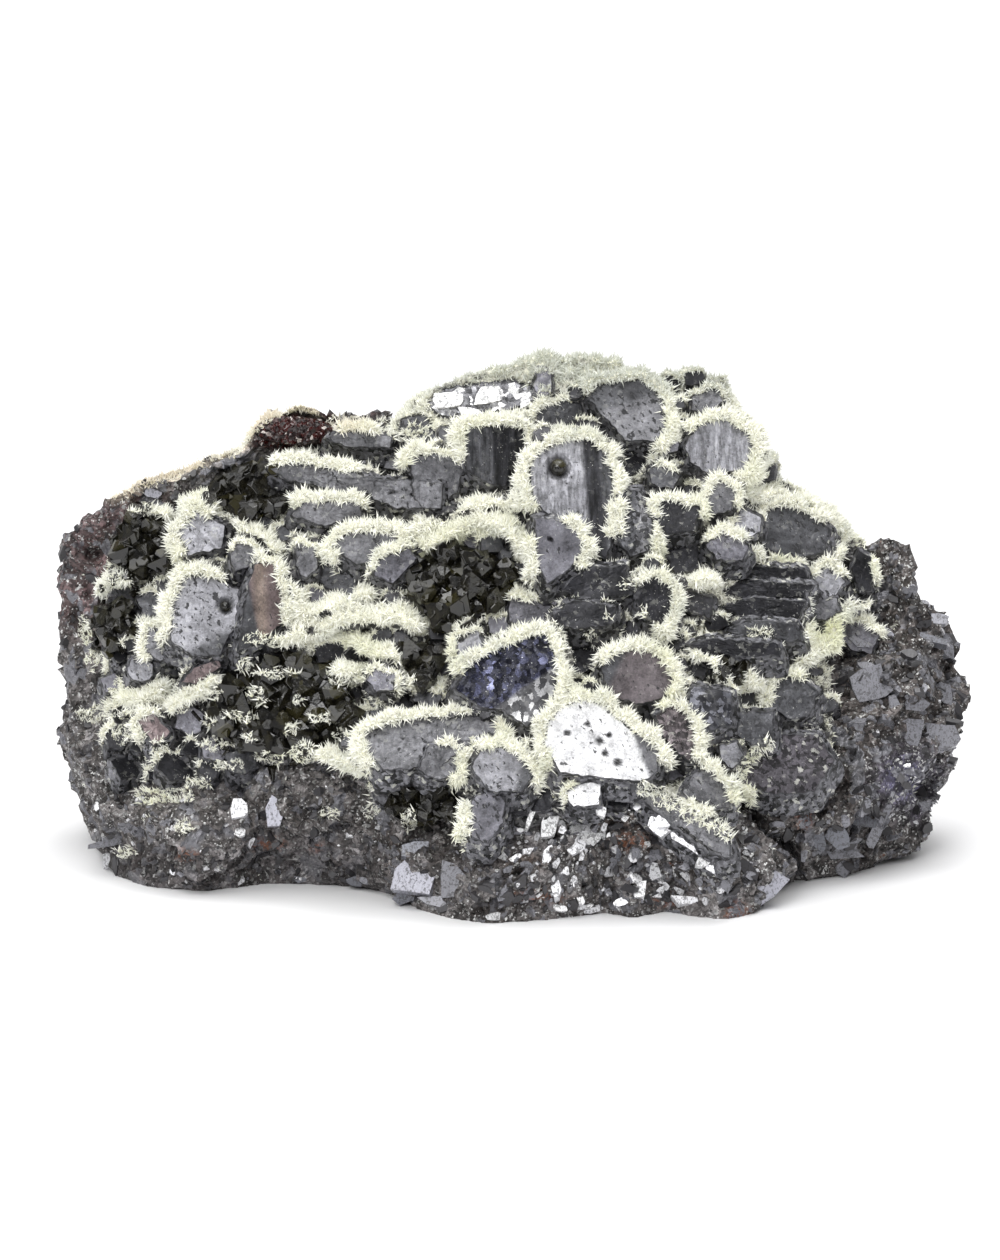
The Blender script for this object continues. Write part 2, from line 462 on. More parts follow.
def toWorld(places):
    # front view millimetres to world metres, for an array of (across, up, deep)
    places = np.asarray(places, float)
    across = places[:, 0:1] * np.array([[1.0, 0, 0]])
    return (across + places[:, 1:2] * np.array(upView) + places[:, 2:3] * np.array(intoView)) * mm


def toView(points):
    points = np.asarray(points, float) / mm
    return np.stack([points[:, 0], points @ np.array(upView), points @ np.array(intoView)], axis=1)


def meshArrays(mesh):
    places = np.empty(len(mesh.vertices) * 3)
    mesh.vertices.foreach_get("co", places)
    normals = np.empty(len(mesh.vertices) * 3)
    mesh.vertices.foreach_get("normal", normals)
    return places.reshape(-1, 3), normals.reshape(-1, 3)


def addPiece(name, points, faces, material, smooth=False):
    # faces is an array with the same number of corners in each row
    mesh = bpy.data.meshes.new(name)
    corners = faces.shape[1]
    mesh.vertices.add(len(points))
    mesh.vertices.foreach_set("co", np.asarray(points, np.float32).ravel())
    mesh.loops.add(faces.size)
    mesh.loops.foreach_set("vertex_index", faces.astype(np.int32).ravel())
    mesh.polygons.add(len(faces))
    mesh.polygons.foreach_set("loop_start", np.arange(len(faces), dtype=np.int32) * corners)
    mesh.update(calc_edges=True)
    mesh.validate()
    mesh.polygons.foreach_set("use_smooth", np.full(len(mesh.polygons), smooth))
    made = bpy.data.objects.new(name, mesh)
    bpy.context.scene.collection.objects.link(made)
    made.data.materials.append(material)
    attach(made, "root")
    return made


def paint(piece, name, values):
    # stores a number or a colour at every vertex
    values = np.asarray(values, np.float32)
    if values.ndim == 1:
        piece.data.attributes.new(name, "FLOAT", "POINT").data.foreach_set("value", values)
    else:
        values = np.concatenate([values, np.ones((len(values), 1), np.float32)], axis=1)
        piece.data.attributes.new(name, "FLOAT_COLOR", "POINT").data.foreach_set("color", values.ravel())


def remeshed(node, name, voxel, material):
    # an even, fine copy of a solid, ready to be shaped
    copy = nodes[node].copy()
    copy.data = nodes[node].data.copy()
    bpy.context.scene.collection.objects.link(copy)
    step = copy.modifiers.new("even", "REMESH")
    step.mode = "VOXEL"
    step.voxel_size = voxel * mm
    graph = bpy.context.evaluated_depsgraph_get()
    mesh = bpy.data.meshes.new_from_object(copy.evaluated_get(graph))
    bpy.data.objects.remove(copy)
    mesh.name = name
    mesh.materials.clear()
    mesh.materials.append(material)
    piece = bpy.data.objects.new(name, mesh)
    bpy.context.scene.collection.objects.link(piece)
    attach(piece, "root")
    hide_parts(node)
    return piece


def facetHeight(point, grain):
    # height of a broken surface: each Voronoi cell is a tilted plane
    cell = noise.voronoi(point / grain)[1][0]
    tilt = noise.noise_vector(cell * 7.3 + Vector((3.1, 1.7, 5.9)))
    return (point / grain - cell).dot(tilt) + tilt.x * 0.6


def facets(points, layers):
    # sum of broken surfaces at points in millimetres; layers are (grain, height)
    total = np.zeros(len(points))
    for k, point in enumerate(points):
        spot = Vector(point)
        total[k] = sum(facetHeight(spot, grain) * height for grain, height in layers)
    return total


def within(places, outline):
    # which of the places, an array of (across, up), lie inside a closed outline
    inside = np.zeros(len(places), bool)
    x, y = places[:, 0], places[:, 1]
    for (x0, y0), (x1, y1) in zip(outline, outline[1:] + outline[:1]):
        crosses = (y0 > y) != (y1 > y)
        if y0 != y1:
            inside ^= crosses & (x < x0 + (x1 - x0) * (y - y0) / (y1 - y0))
    return inside


def distanceTo(places, outline, closed=True):
    # distance of each place from a line of points
    best = np.full(len(places), 1e9)
    ends = outline[1:] + outline[:1] if closed else outline[1:]
    for (x0, y0), (x1, y1) in zip(outline, ends):
        run = np.array([x1 - x0, y1 - y0])
        share = np.clip(((places - [x0, y0]) @ run) / (run @ run), 0, 1)
        best = np.minimum(best, np.hypot(*(places - [x0, y0] - share[:, None] * run).T))
    return best


def inArcs(angles, arcs):
    found = np.zeros(len(angles), bool)
    for start, end in arcs:
        found |= (angles - start) % 360 <= end - start
    return found


def roundOutline(across, up, width, height, turn, corners):
    rough = random.Random(f"{across:.1f},{up:.1f}")
    turn = math.radians(turn)
    outline = []
    for k in range(corners):
        angle = (k + 0.5 + rough.uniform(-0.18, 0.18)) * 2 * math.pi / corners
        stretch = rough.uniform(0.92, 1.12)
        x = math.copysign(abs(math.cos(angle)) ** 0.8, math.cos(angle)) * width / 2 * stretch
        y = math.copysign(abs(math.sin(angle)) ** 0.8, math.sin(angle)) * height / 2 * stretch
        outline.append((across + x * math.cos(turn) - y * math.sin(turn),
                        up + x * math.sin(turn) + y * math.cos(turn)))
    return outline


def allOutlines():
    found = dict(largeFaces)
    for name, (across, up, width, height, turn, corners, arcs, tone) in smallFaces.items():
        found[name] = (roundOutline(across, up, width, height, turn, corners), arcs, tone)
    return found


outlines = allOutlines()


class Skin:
    # the solids seen from the front, for setting things on them
    def __init__(self):
        points, faces, self.owner = [], [], []
        for name, node in nodes.items():
            start = len(points)
            points += [v.co.copy() for v in node.data.vertices]
            for face in node.data.polygons:
                faces.append([start + k for k in face.vertices])
                self.owner.append(name)
        self.tree = BVHTree.FromPolygons(points, faces)

    def hit(self, across, up):
        start = Vector((across, 0, 0)) + upView * up - intoView * 200
        place, normal, face, _ = self.tree.ray_cast(start * mm, intoView)
        if place is None:
            return None
        if normal.dot(intoView) > 0:
            normal = -normal
        return place, normal, self.owner[face]


skin = Skin()
print("frame read")


rock = {"voxel": 1.0, "layers": [(13, 4.0), (6, 3.0), (2.8, 1.3)],
        "backLayers": [(14, 4.0), (6, 3.0), (2.8, 1.2)],
        "grey": (0.105, 0.100, 0.098), "red": (0.088, 0.060, 0.060), "indigo": (0.040, 0.040, 0.085),
        "smooth": (0.092, 0.087, 0.088), "brown": (0.058, 0.050, 0.046), "tan": (0.42, 0.38, 0.30),
        "hollow": (0.020, 0.004, 0.004), "hollowCentre": (-44.4, 87.3), "hollowHalf": (7.8, 3.7),
        "inset": 0.5,
        # parts of the outline set further out or in: across, up, half width, half height,
        # shift across, shift up
        "bulges": [(-89, 63, 13, 11, -2.4, 1.4), (-91, 38, 11, 14, 2.6, 0), (-56, 87, 7, 6, 0, -2.5),
                   (76, 66, 9, 9, 0.5, 4.2), (50, 1, 9, 8, 2.6, 0), (-33.5, 94, 8, 7, 0, -3.4),
                   (-22, 90, 6, 6, 0, 3.2), (81, 8, 8, 7, 2.8, -1.5),
                   (89, 46, 6, 7, 0.5, 3.2)],
        "rust": [(-48.6, 5, 4.5, 1.6), (-39.2, 3.8, 2.4, 1.4), (-64.8, 3.8, 3.4, 1.8), (4.6, -5, 7.5, 1.8),
                 (11.2, 11.6, 1.8, 1.2), (44.6, -8, 4, 2.5), (24, 6, 5, 2.5), (30, -6, 4, 1.5),
                 (58, 12, 3, 5)],
        # deep cracks on the front view, and the red skyline right of the hollow
        "clefts": [[(45.6, 17.2), (48.6, 12.4), (51.6, 7.6), (55.0, 3.4), (57.6, -1.7)]], "cleftDeep": 4.4,
        "cleftHalf": 1.0,
        "crack": (0.012, 0.011, 0.010), "redLine": [(-37, 92.0), (-31, 92.0), (-23, 92.6)],
        "burnt": (0.045, 0.034, 0.028), "burntSpots": [(21.6, 11, 6.5, 4.5), (35, 2, 5, 3.5), (2, 2, 6, 3),
                                                       (-25, 3, 6, 5)],
        "rim": [(-80, 76), (-70, 80), (-60, 84.5), (-54, 88.5), (-49, 92), (-45.5, 93.6), (-42, 93.2),
                (-39, 92.4)],
        "rimReach": 1.9, "redLineHalf": 1.6,
        # colour zones: (left of, above, soft edge), (across, up, radius), and so on
        "redZone": (-66, 44, 8), "indigoSpot": (79, 18, 10), "smoothZone": (-22, 6, 7, 4),
        "brownZone": (58, 4, 8, 0.75)}


def makeRock():
    piece = remeshed("ore_matrix", "brokenOre", rock["voxel"], oreMaterial())
    points, normals = meshArrays(piece.data)
    front = normals @ np.array(intoView) < 0.25
    height = np.where(front, facets(points / mm, rock["layers"]), facets(points / mm, rock["backLayers"]))
    view = toView(points)
    across, up = view[:, 0], view[:, 1]
    rim = 1.6 - distanceTo(view[:, :2], rock["rim"], False) / rock["rimReach"]
    rim = np.clip(rim, 0, 1) * (normals[:, 1] < 0.5)
    offset = (view[:, :2] - rock["hollowCentre"]) / rock["hollowHalf"]
    inHollow = np.clip((1.15 - np.hypot(*offset.T)) * 5, 0, 1) * front
    height *= np.clip(points[:, 2] / mm / 3, 0, 1) * (1 - np.maximum(rim, inHollow) * 0.75)
    cleft = np.zeros(len(points))
    for line in rock["clefts"]:
        near = 1.5 - distanceTo(view[:, :2], line, False) / rock["cleftHalf"]
        cleft = np.maximum(cleft, np.clip(near, 0, 1) * front)
    height -= cleft * rock["cleftDeep"]
    redLine = 2 - distanceTo(view[:, :2], rock["redLine"], False) / rock["redLineHalf"]
    redLine = np.clip(redLine, 0, 1) * (normals[:, 1] < 0.6)
    inHollow = np.maximum(inHollow, redLine)
    height -= rock["inset"] * np.clip(points[:, 2] / mm / 3, 0, 1)
    moved = points + normals * height[:, None] * mm
    for x, v, halfWidth, halfHeight, aside, lift in rock["bulges"]:
        share = np.clip(1.15 - np.hypot((across - x) / halfWidth, (up - v) / halfHeight), 0, 1)[:, None]
        share = share * share * (3 - 2 * share) * np.clip(points[:, 2:] / mm / 5, 0, 1)
        moved += share * np.array([aside, 0, lift]) * mm
    moved[:, 2] = np.maximum(moved[:, 2], 0)
    piece.data.vertices.foreach_set("co", moved.astype(np.float32).ravel())
    tone = np.tile(np.array(rock["grey"]), (len(points), 1))
    side, above, soft = rock["redZone"]
    redness = np.clip((side - across) / soft, 0, 1) * np.clip((up - above) / soft, 0, 1)
    x, v, radius = rock["indigoSpot"]
    blue = np.clip(1 - np.hypot(across - x, up - v) / radius, 0, 1)
    side, softSide, below, softTop = rock["smoothZone"]
    plain = np.clip((side - across) / softSide, 0, 1) * np.clip((below - up) / softTop, 0, 1)
    side, above, soft, most = rock["brownZone"]
    brown = np.clip((across - side) / soft, 0, 1) * np.clip((up - above) / soft, 0, 1) * most
    burnt, rust = (np.zeros(len(points)) for _ in range(2))
    for x, v, halfWidth, halfHeight in rock["burntSpots"]:
        far = np.hypot((across - x) / halfWidth, (up - v) / halfHeight)
        burnt = np.maximum(burnt, np.clip(1.6 - far * 1.5, 0, 0.9))
    for x, v, halfWidth, halfHeight in rock["rust"]:
        far = np.hypot((across - x) / halfWidth, (up - v) / halfHeight)
        rust = np.maximum(rust, np.clip(2 - far * 2, 0, 1))
    paint(piece, "rust", rust * front)
    layers = ((redness, "red"), (brown, "brown"), (burnt * front, "burnt"), (cleft, "crack"),
              (blue, "indigo"), (plain, "smooth"), (inHollow, "hollow"),
              (rim * (1 - inHollow), "tan"))
    for share, colour in layers:
        tone = tone * (1 - share[:, None]) + np.array(rock[colour]) * share[:, None]
    paint(piece, "tone", tone)
    paint(piece, "metal", np.clip(1 - plain * 0.5 - inHollow - rim * 0.8, 0, 1))
    piece.data.polygons.foreach_set("use_smooth", np.zeros(len(piece.data.polygons), bool))
    broken = np.array([noise.noise(Vector((x * 0.35, v * 0.35, 2.0))) for x, v in view[:, :2]])
    fur = np.clip(rim * (1 - inHollow) * 1.3 - 0.5 + broken * 0.8, 0, 0.8)
    return moved, trianglesOf(piece.data), fur


def trianglesOf(mesh):
    mesh.calc_loop_triangles()
    corners = np.empty(len(mesh.loop_triangles) * 3, np.int32)
    mesh.loop_triangles.foreach_get("vertices", corners)
    return corners.reshape(-1, 3)


# outline of the crust on the front view
crustField = [
    (-84, 58), (-86, 40), (-85, 22), (-79, 15), (-66, 14), (-58, 21), (-44, 24), (-32, 18), (-27, 10),
    (-20, 6), (-8, 5), (4, 14), (20, 14), (28, 15), (38, 6), (45, 6), (47, 14), (60, 15), (68, 24),
    (66, 34), (66, 44), (76, 50), (76, 64), (68, 72), (60, 80), (54, 90), (46, 99), (20, 103), (-22, 94),
    (-22, 87),
    (-48, 85), (-58, 79), (-74, 74)]

# the clusters of sphalerite on the front view: across, up, width, height
darkClusters = [(-52.6, 76, 14, 11.5), (-74.2, 64.4, 12, 15), (-80, 49, 8, 10), (-46, 33, 30, 20),
                (-10.4, 57, 22, 16), (-17.6, 13.6, 15, 7.4), (-18, 42, 8.4, 7.6), (43.8, 40.4, 7, 5.4),
                (-43, 88, 23, 8.4),
               (2, 101, 62, 10), (-8, 94, 26, 10)]

filler = {"count": 170, "grid": 0.5, "least": 1.15, "most": 3.3, "margin": 1.5, "ridgeShare": 0.42,
          "overlap": 1.18,
          "tones": ["slate", "coal", "lead", "slate", "violet", "coal"], "rise": (0.2, 1.8)}


def findLevels():
    # depth and slopes of each crystal's face, read from the solid by nine probes
    levels = {}
    for name, (outline, _, _) in outlines.items():
        centre = np.mean(outline, axis=0)
        reach = np.ptp(outline, axis=0) * 0.16
        probes = []
        for dx in (-1, 0, 1):
            for dv in (-1, 0, 1):
                found = skin.hit(centre[0] + dx * reach[0], centre[1] + dv * reach[1])
                if found and found[2] == "galena_crystals":
                    deep = found[0].dot(intoView) / mm
                    probes.append((1, dx * reach[0], dv * reach[1], deep))
        probes = np.array(probes if len(probes) > 2 else [(1, 0, 0, -20), (1, 1, 0, -20), (1, 0, 1, -20)])
        middle = np.median(probes[:, 3])
        good = np.abs(probes[:, 3] - middle) < 3
        levels[name] = np.linalg.lstsq(probes[good, :3], probes[good, 3], rcond=None)[0]
    return levels


faceLevels = findLevels()


def addFillers():
    # small crystals in the gaps between the others, largest first where the gap is widest
    dice = random.Random(21)
    xs, vs = np.meshgrid(np.arange(-86, 77, filler["grid"]), np.arange(5, 104, filler["grid"]))
    places = np.column_stack([xs.ravel(), vs.ravel()])
    places = places[within(places, crustField)]
    room = np.full(len(places), 99.0)
    for outline, _, _ in outlines.values():
        room = np.minimum(room, distanceTo(places, outline) - filler["margin"])
        room[within(places, outline)] = -1
    for line, width in ridges:
        room = np.minimum(room, distanceTo(places, line, False) - width * filler["ridgeShare"])
    for across, up, width, height in darkClusters:
        away = np.hypot((places[:, 0] - across) / width, (places[:, 1] - up) / height) * 2 - 1
        room = np.minimum(room, away * min(width, height) / 2 + 0.6)
    for k in range(filler["count"]):
        good = np.nonzero(room > filler["least"])[0]
        if not len(good):
            break
        wide = good[room[good] > min(filler["most"], room[good].max()) * 0.8]
        spot = places[wide[dice.randrange(len(wide))]]
        radius = min(filler["most"], distanceRoom(places, room, spot)) * dice.uniform(0.8, 1.0)
        room = np.minimum(room, np.hypot(*(places - spot).T) - radius * 1.25)
        found = skin.hit(*spot)
        if not found or found[2] != "galena_crystals":
            continue
        size = 2 * radius * filler["overlap"]
        outline = roundOutline(spot[0], spot[1], size * dice.uniform(0.9, 1.35),
                               size * dice.uniform(0.75, 1.0),
                               dice.uniform(-25, 25), dice.choice((4, 4, 5, 6)))
        name = f"filler{k}"
        arcs = [(dice.uniform(0, 50), dice.uniform(120, 190))] if dice.random() < 0.72 else []
        outlines[name] = (outline, arcs, dice.choice(filler["tones"]))
        deep = found[0].dot(intoView) / mm - dice.uniform(*filler["rise"])
        faceLevels[name] = np.array([deep, dice.uniform(-0.35, 0.5), dice.uniform(0.05, 0.6)])


def distanceRoom(places, room, spot):
    return room[np.argmin(np.hypot(*(places - spot).T))]


addFillers()
print("crystals placed", len(outlines))

crystal = {"edgeStep": 0.5, "ringStep": 0.55, "chip": 0.5, "terrace": 1.0,
           "druseRings": [(0.2, 0.25), (0.55, -0.5), (1.15, -1.1), (1.85, -0.7), (2.4, 0.9), (2.8, 3.5)],
           "plainRings": [(0.12, 0.04), (0.40, 0.35), (0.70, 1.1), (1.25, 1.9), (1.6, 3.2), (2.4, 5.0)]}


def noiseField(places, scale, offset):
    return np.array([noise.noise(Vector((x * scale, v * scale, offset))) for x, v in places])


def edgeOf(outline):
    # evenly spaced points round an outline, with the way out at each
    edge = []
    for (x0, y0), (x1, y1) in zip(outline, outline[1:] + outline[:1]):
        count = max(1, round(math.hypot(x1 - x0, y1 - y0) / crystal["edgeStep"]))
        edge += [(x0 + (x1 - x0) * k / count, y0 + (y1 - y0) * k / count) for k in range(count)]
    edge = np.array(edge)
    centre = np.mean(outline, axis=0)
    ahead = np.roll(edge, -1, axis=0) - np.roll(edge, 1, axis=0)
    out = np.stack([ahead[:, 1], -ahead[:, 0]], axis=1)
    out *= np.sign(((edge - centre) * out).sum())
    out = np.roll(out, 1, axis=0) + out + np.roll(out, -1, axis=0)
    out /= np.linalg.norm(out, axis=1, keepdims=True)
    edge += out * (noiseField(edge, 0.8, 2.0) * crystal["chip"])[:, None]
    return edge, out, centre


def carved(style, places):
    # broad relief of a face as depth into the stone, and how much darker or lighter it makes it
    broad = noiseField(places, 0.14, 6.0) + noiseField(places, 0.36, 8.0) * 0.5
    if style in ("smooth", "specked"):
        return broad * 0.4, 1 + broad * 0.3
    if style == "streaked":
        stripes = noiseField(places * np.array([0.7, 0.1]), 1.0, 2.0)
        return stripes * 0.3, 1 + stripes * 0.4
    if style == "celled":
        return broad * 0.8, 1 + broad * 0.9
    if style == "pitted":
        return broad * 0.5, 1 + broad * 0.35
    terraces = np.round(noiseField(places * np.array([0.12, 0.2]), 1.0, 6.0) * 7) / 7
    return terraces * crystal["terrace"], 1 + terraces * 0.6


def planeAt(name, across, up):
    # depth of a crystal's face at a place
    level = faceLevels[name]
    centre = np.mean(outlines[name][0], axis=0)
    return level[0] + level[1:] @ (np.array([across, up]) - centre)


def faceTone(name, toneName, places):
    count = len(places)
    tone = np.tile(np.array(tones[toneName][0]), (count, 1))
    metal, rough = np.full(count, tones[toneName][1]), np.full(count, tones[toneName][2])
    for across, up, start, soft, other in shades.get(name, []):
        share = np.clip((places @ np.array([across, up]) - start) / soft + 0.5, 0, 1)
        tone = tone * (1 - share[:, None]) + np.array(tones[other][0]) * share[:, None]
        metal = metal * (1 - share) + tones[other][1] * share
        rough = rough * (1 - share) + tones[other][2] * share
    return tone, metal, rough


def growCrystals():
    # each crystal: its carved face, then the druse ridge or the stepped flank round it, down into the crust
    points, faces, values = [], [], []
    start = 0
    for name, (outline, arcs, toneName) in outlines.items():
        edge, out, centre = edgeOf(outline)
        count = len(edge)
        span = np.ptp(outline, axis=0).mean()
        rings = max(4, round(span / 2 / crystal["ringStep"]))
        shares = np.arange(1, rings + 1) / rings
        flat = centre + (edge - centre)[None] * shares[:, None, None]
        flat = np.concatenate([[centre], flat.reshape(-1, 2)])
        level = faceLevels[name]
        style = carvings.get(name, "stepped" if span > 4.5 else "smooth")
        relief, brightness = carved(style, flat)
        holes = np.zeros(len(flat))
        for across, up, radius in pits.get(name, []):
            holes = np.maximum(holes, np.clip(1.25 - np.hypot(*(flat - [across, up]).T) / radius, 0, 1))
        relief = relief * min(1.0, span / 9) + np.minimum(holes, 1) ** 0.5 * 0.9
        plane = level[0] + (flat - centre) @ level[1:]
        tone, metal, rough = faceTone(name, toneName, flat)
        tone = tone * (brightness * (1 - 0.92 * np.clip(holes * 2, 0, 1)))[:, None].clip(0.05, 3)
        facePoints = np.column_stack([flat, plane + relief - 0.12])
        zero = np.zeros(len(flat))
        angle = np.degrees(np.arctan2(edge[:, 1] - centre[1], edge[:, 0] - centre[0]))
        furred = inArcs(angle, arcs).astype(float)
        furred = (np.roll(furred, 1) + furred * 2 + np.roll(furred, -1)) / 4
        size = float(np.clip(span / 9, 0.42, 1.0))
        rimLevel = level[0] + (edge - centre) @ level[1:]
        weights = np.tile(np.array(styles[style][:3]), (len(flat), 1))
        values.append(np.column_stack([tone, metal, rough, zero, zero, zero + styles[style][3], weights]))
        points.append(facePoints)
        wave = 1 + noiseField(edge, 0.5, 12.0) * 0.7
        for (druseOut, druseDeep), (plainOut, plainDeep) in zip(crystal["druseRings"], crystal["plainRings"]):
            away = (furred * druseOut * wave + (1 - furred) * plainOut) * size
            deep = furred * druseDeep * size * (wave if druseDeep < 0 else 1) + (1 - furred) * plainDeep
            down = np.maximum(deep, 0) * 0.45
            ring = np.column_stack([edge + out * away[:, None], rimLevel + deep])
            ring[:, 1] -= down * (plainDeep > 2.5)
            ripple = noiseField(ring[:, :2] + plainDeep, 0.6, 5.0) * (1 - furred)
            ring[:, 2] += ripple * (0.7 if plainDeep > 0.5 else 0.15)
            points.append(ring)
            fur = furred * (0.35 < druseOut < 2.6)
            tone = np.outer(1 - fur, tones["flank"][0]) + np.outer(fur, tones["druse"][0])
            if druseOut < 0.5:
                tone *= 0.6
            stepDark = 1 + noiseField(ring[:, :2] * 1.0, 1.2, plainDeep)[:, None] * 0.9
            values.append(np.column_stack([tone * stepDark.clip(0.3, 2), (1 - fur) * tones["flank"][1],
                                           np.full(count, 0.5), fur, np.full(count, size),
                                           (1 - fur) * (plainDeep > 0.2),
                                           np.zeros((count, 3))]))
        rows = rings + len(crystal["druseRings"])
        k = np.arange(count)
        after = (k + 1) % count
        for row in range(rows - 1):
            a, b = start + 1 + row * count, start + 1 + (row + 1) * count
            faces.append(np.stack([a + k, a + after, b + after], axis=1))
            faces.append(np.stack([a + k, b + after, b + k], axis=1))
        faces.append(np.stack([np.full(count, start), start + 1 + after, start + 1 + k], axis=1))
        start += 1 + rows * count
    points, faces, values = np.concatenate(points), np.concatenate(faces), np.concatenate(values)
    world = toWorld(points)
    turned = np.cross(world[faces[:, 1]] - world[faces[:, 0]], world[faces[:, 2]] - world[faces[:, 0]])
    faces[turned @ np.array(intoView) > 0] = faces[turned @ np.array(intoView) > 0][:, ::-1]
    piece = addPiece("galenaBlocks", world, faces, galenaMaterial(), True)
    piece.data.set_sharp_from_angle(angle=math.radians(32))
    paint(piece, "tone", values[:, :3])
    paint(piece, "metal", values[:, 3])
    paint(piece, "rough", values[:, 4])
    paint(piece, "busy", values[:, 7])
    paint(piece, "style", values[:, 8:11])
    return world, faces, values[:, 5], values[:, 6]


crust = {"voxel": 0.80, "sink": 0.9, "rimReach": 2.6, "ridgeReach": 0.42,
         "grooves": [[(-41, 54.2), (-35, 56.2), (-28, 58.6)], [(-38.5, 50.8), (-32.5, 52.4), (-25.4, 53.8)],
                     [(-34, 48.2), (-27, 48.6), (-20.4, 47.4)], [(-48, 48.8), (-43, 49.4), (-40, 47.6)],
                     [(-47, 43.6), (-41.6, 44.6), (-36, 45.4), (-31, 44)],
                     [(-14, 69.4), (-8, 71.4), (-2, 71.8)],
                     [(-26, 61.6), (-20.4, 65.6)]],
         "grooveHalf": 0.75,
         "layers": [(2.4, 0.35), (1.2, 0.2)], "crevice": [(4.5, 1.7), (2.2, 0.9)],
         "dustUp": (0.35, 0.75), "dustShare": 0.8}


def makeCrust():
    piece = remeshed("galena_crystals", "galenaCrust", crust["voxel"], bpy.data.materials["galenaGrey"])
    points, normals = meshArrays(piece.data)
    view = toView(points)
    places, deep = view[:, :2], view[:, 2]
    across, up = places.T
    facing = -(normals @ np.array(intoView))
    hidden = np.zeros(len(points), bool)
    for name, (outline, arcs, _) in outlines.items():
        centre = np.mean(outline, axis=0)
        box = (np.abs(places - centre) < np.ptp(outline, axis=0) / 2 + 4).all(axis=1)
        index = np.nonzero(box & (facing > 0))[0]
        plane = faceLevels[name][0] + (places[index] - centre) @ faceLevels[name][1:]
        reach = crust["rimReach"] if arcs and not name.startswith("filler") else 0.4
        near = within(places[index], outline) | (distanceTo(places[index], outline) < reach)
        hidden[index[near & (np.abs(deep[index] - plane) < 3.4)]] = True
    druse = np.zeros(len(points), bool)
    for line, width in ridges:
        centre = np.mean(line, axis=0)
        box = (np.abs(places - centre) < np.ptp(line, axis=0) / 2 + 6).all(axis=1)
        index = np.nonzero(box)[0]
        reach = width * (crust["ridgeReach"] + noiseField(places[index], 0.5, 4.0) * 0.3)
        druse[index[distanceTo(places[index], line, False) < reach]] = True
    uneven = noiseField(places, 0.4, 13.0) * 0.9
    for line in crust["grooves"]:
        druse &= distanceTo(places, line, False) + uneven > crust["grooveHalf"]
    druse &= ~hidden & (facing > -0.1)
    patchy = np.array([noise.noise(Vector(p) * 0.16) + noise.noise(Vector(p) * 0.55) * 0.6
                       for p in points / mm])
    low, high = crust["dustUp"]
    dust = np.clip((normals[:, 2] + patchy * 0.7 - low) / (high - low), 0, 1) * crust["dustShare"]
    crown = np.interp(across, [-24, -14, 0, 10, 20, 36, 44, 52], [91, 96, 100, 102, 102, 98, 94, 80])
    crown = np.clip((up - crown + 8) / 5, 0, 1) * (across > -26) * (across < 54)
    dust = np.maximum(dust * 0.8, crown * np.clip(0.75 + patchy, 0, 1))
    dust[hidden] = 0
    dust = np.where(druse, 1.0, dust)
    tone = np.outer(1 - dust, tones["crevice"][0]) + np.outer(dust, tones["druse"][0])
    tone *= (1 + patchy * 0.7).clip(0.4, 1.7)[:, None]
    height = facets(points / mm, crust["layers"])
    loose = ~druse
    height[loose] += facets(points[loose] / mm, crust["crevice"])
    height[hidden] = np.minimum(height[hidden], 0) * 0.5 - crust["sink"]
    moved = points + normals * height[:, None] * mm
    piece.data.vertices.foreach_set("co", moved.astype(np.float32).ravel())
    paint(piece, "tone", tone)
    paint(piece, "metal", (1 - dust) * 0.35)
    paint(piece, "rough", 0.5 + dust * 0.2)
    paint(piece, "busy", 1 - dust)
    paint(piece, "style", np.zeros((len(points), 3)))
    piece.data.polygons.foreach_set("use_smooth", np.zeros(len(piece.data.polygons), bool))
    return moved, trianglesOf(piece.data), dust


needles = {"density": 11.5, "most": 137500, "pieces": 3, "length": (0.5, 1.15), "radius": (0.12, 0.19),
           "large": 0.26, "largeLength": (1.0, 2.0), "largeRadius": (0.20, 0.33), "dustLength": 0.62,
           "cream": (1.0, 1.0, 0.92), "green": (0.86, 0.87, 0.66), "peach": (0.90, 0.84, 0.71),
           "ash": (0.66, 0.68, 0.62)}


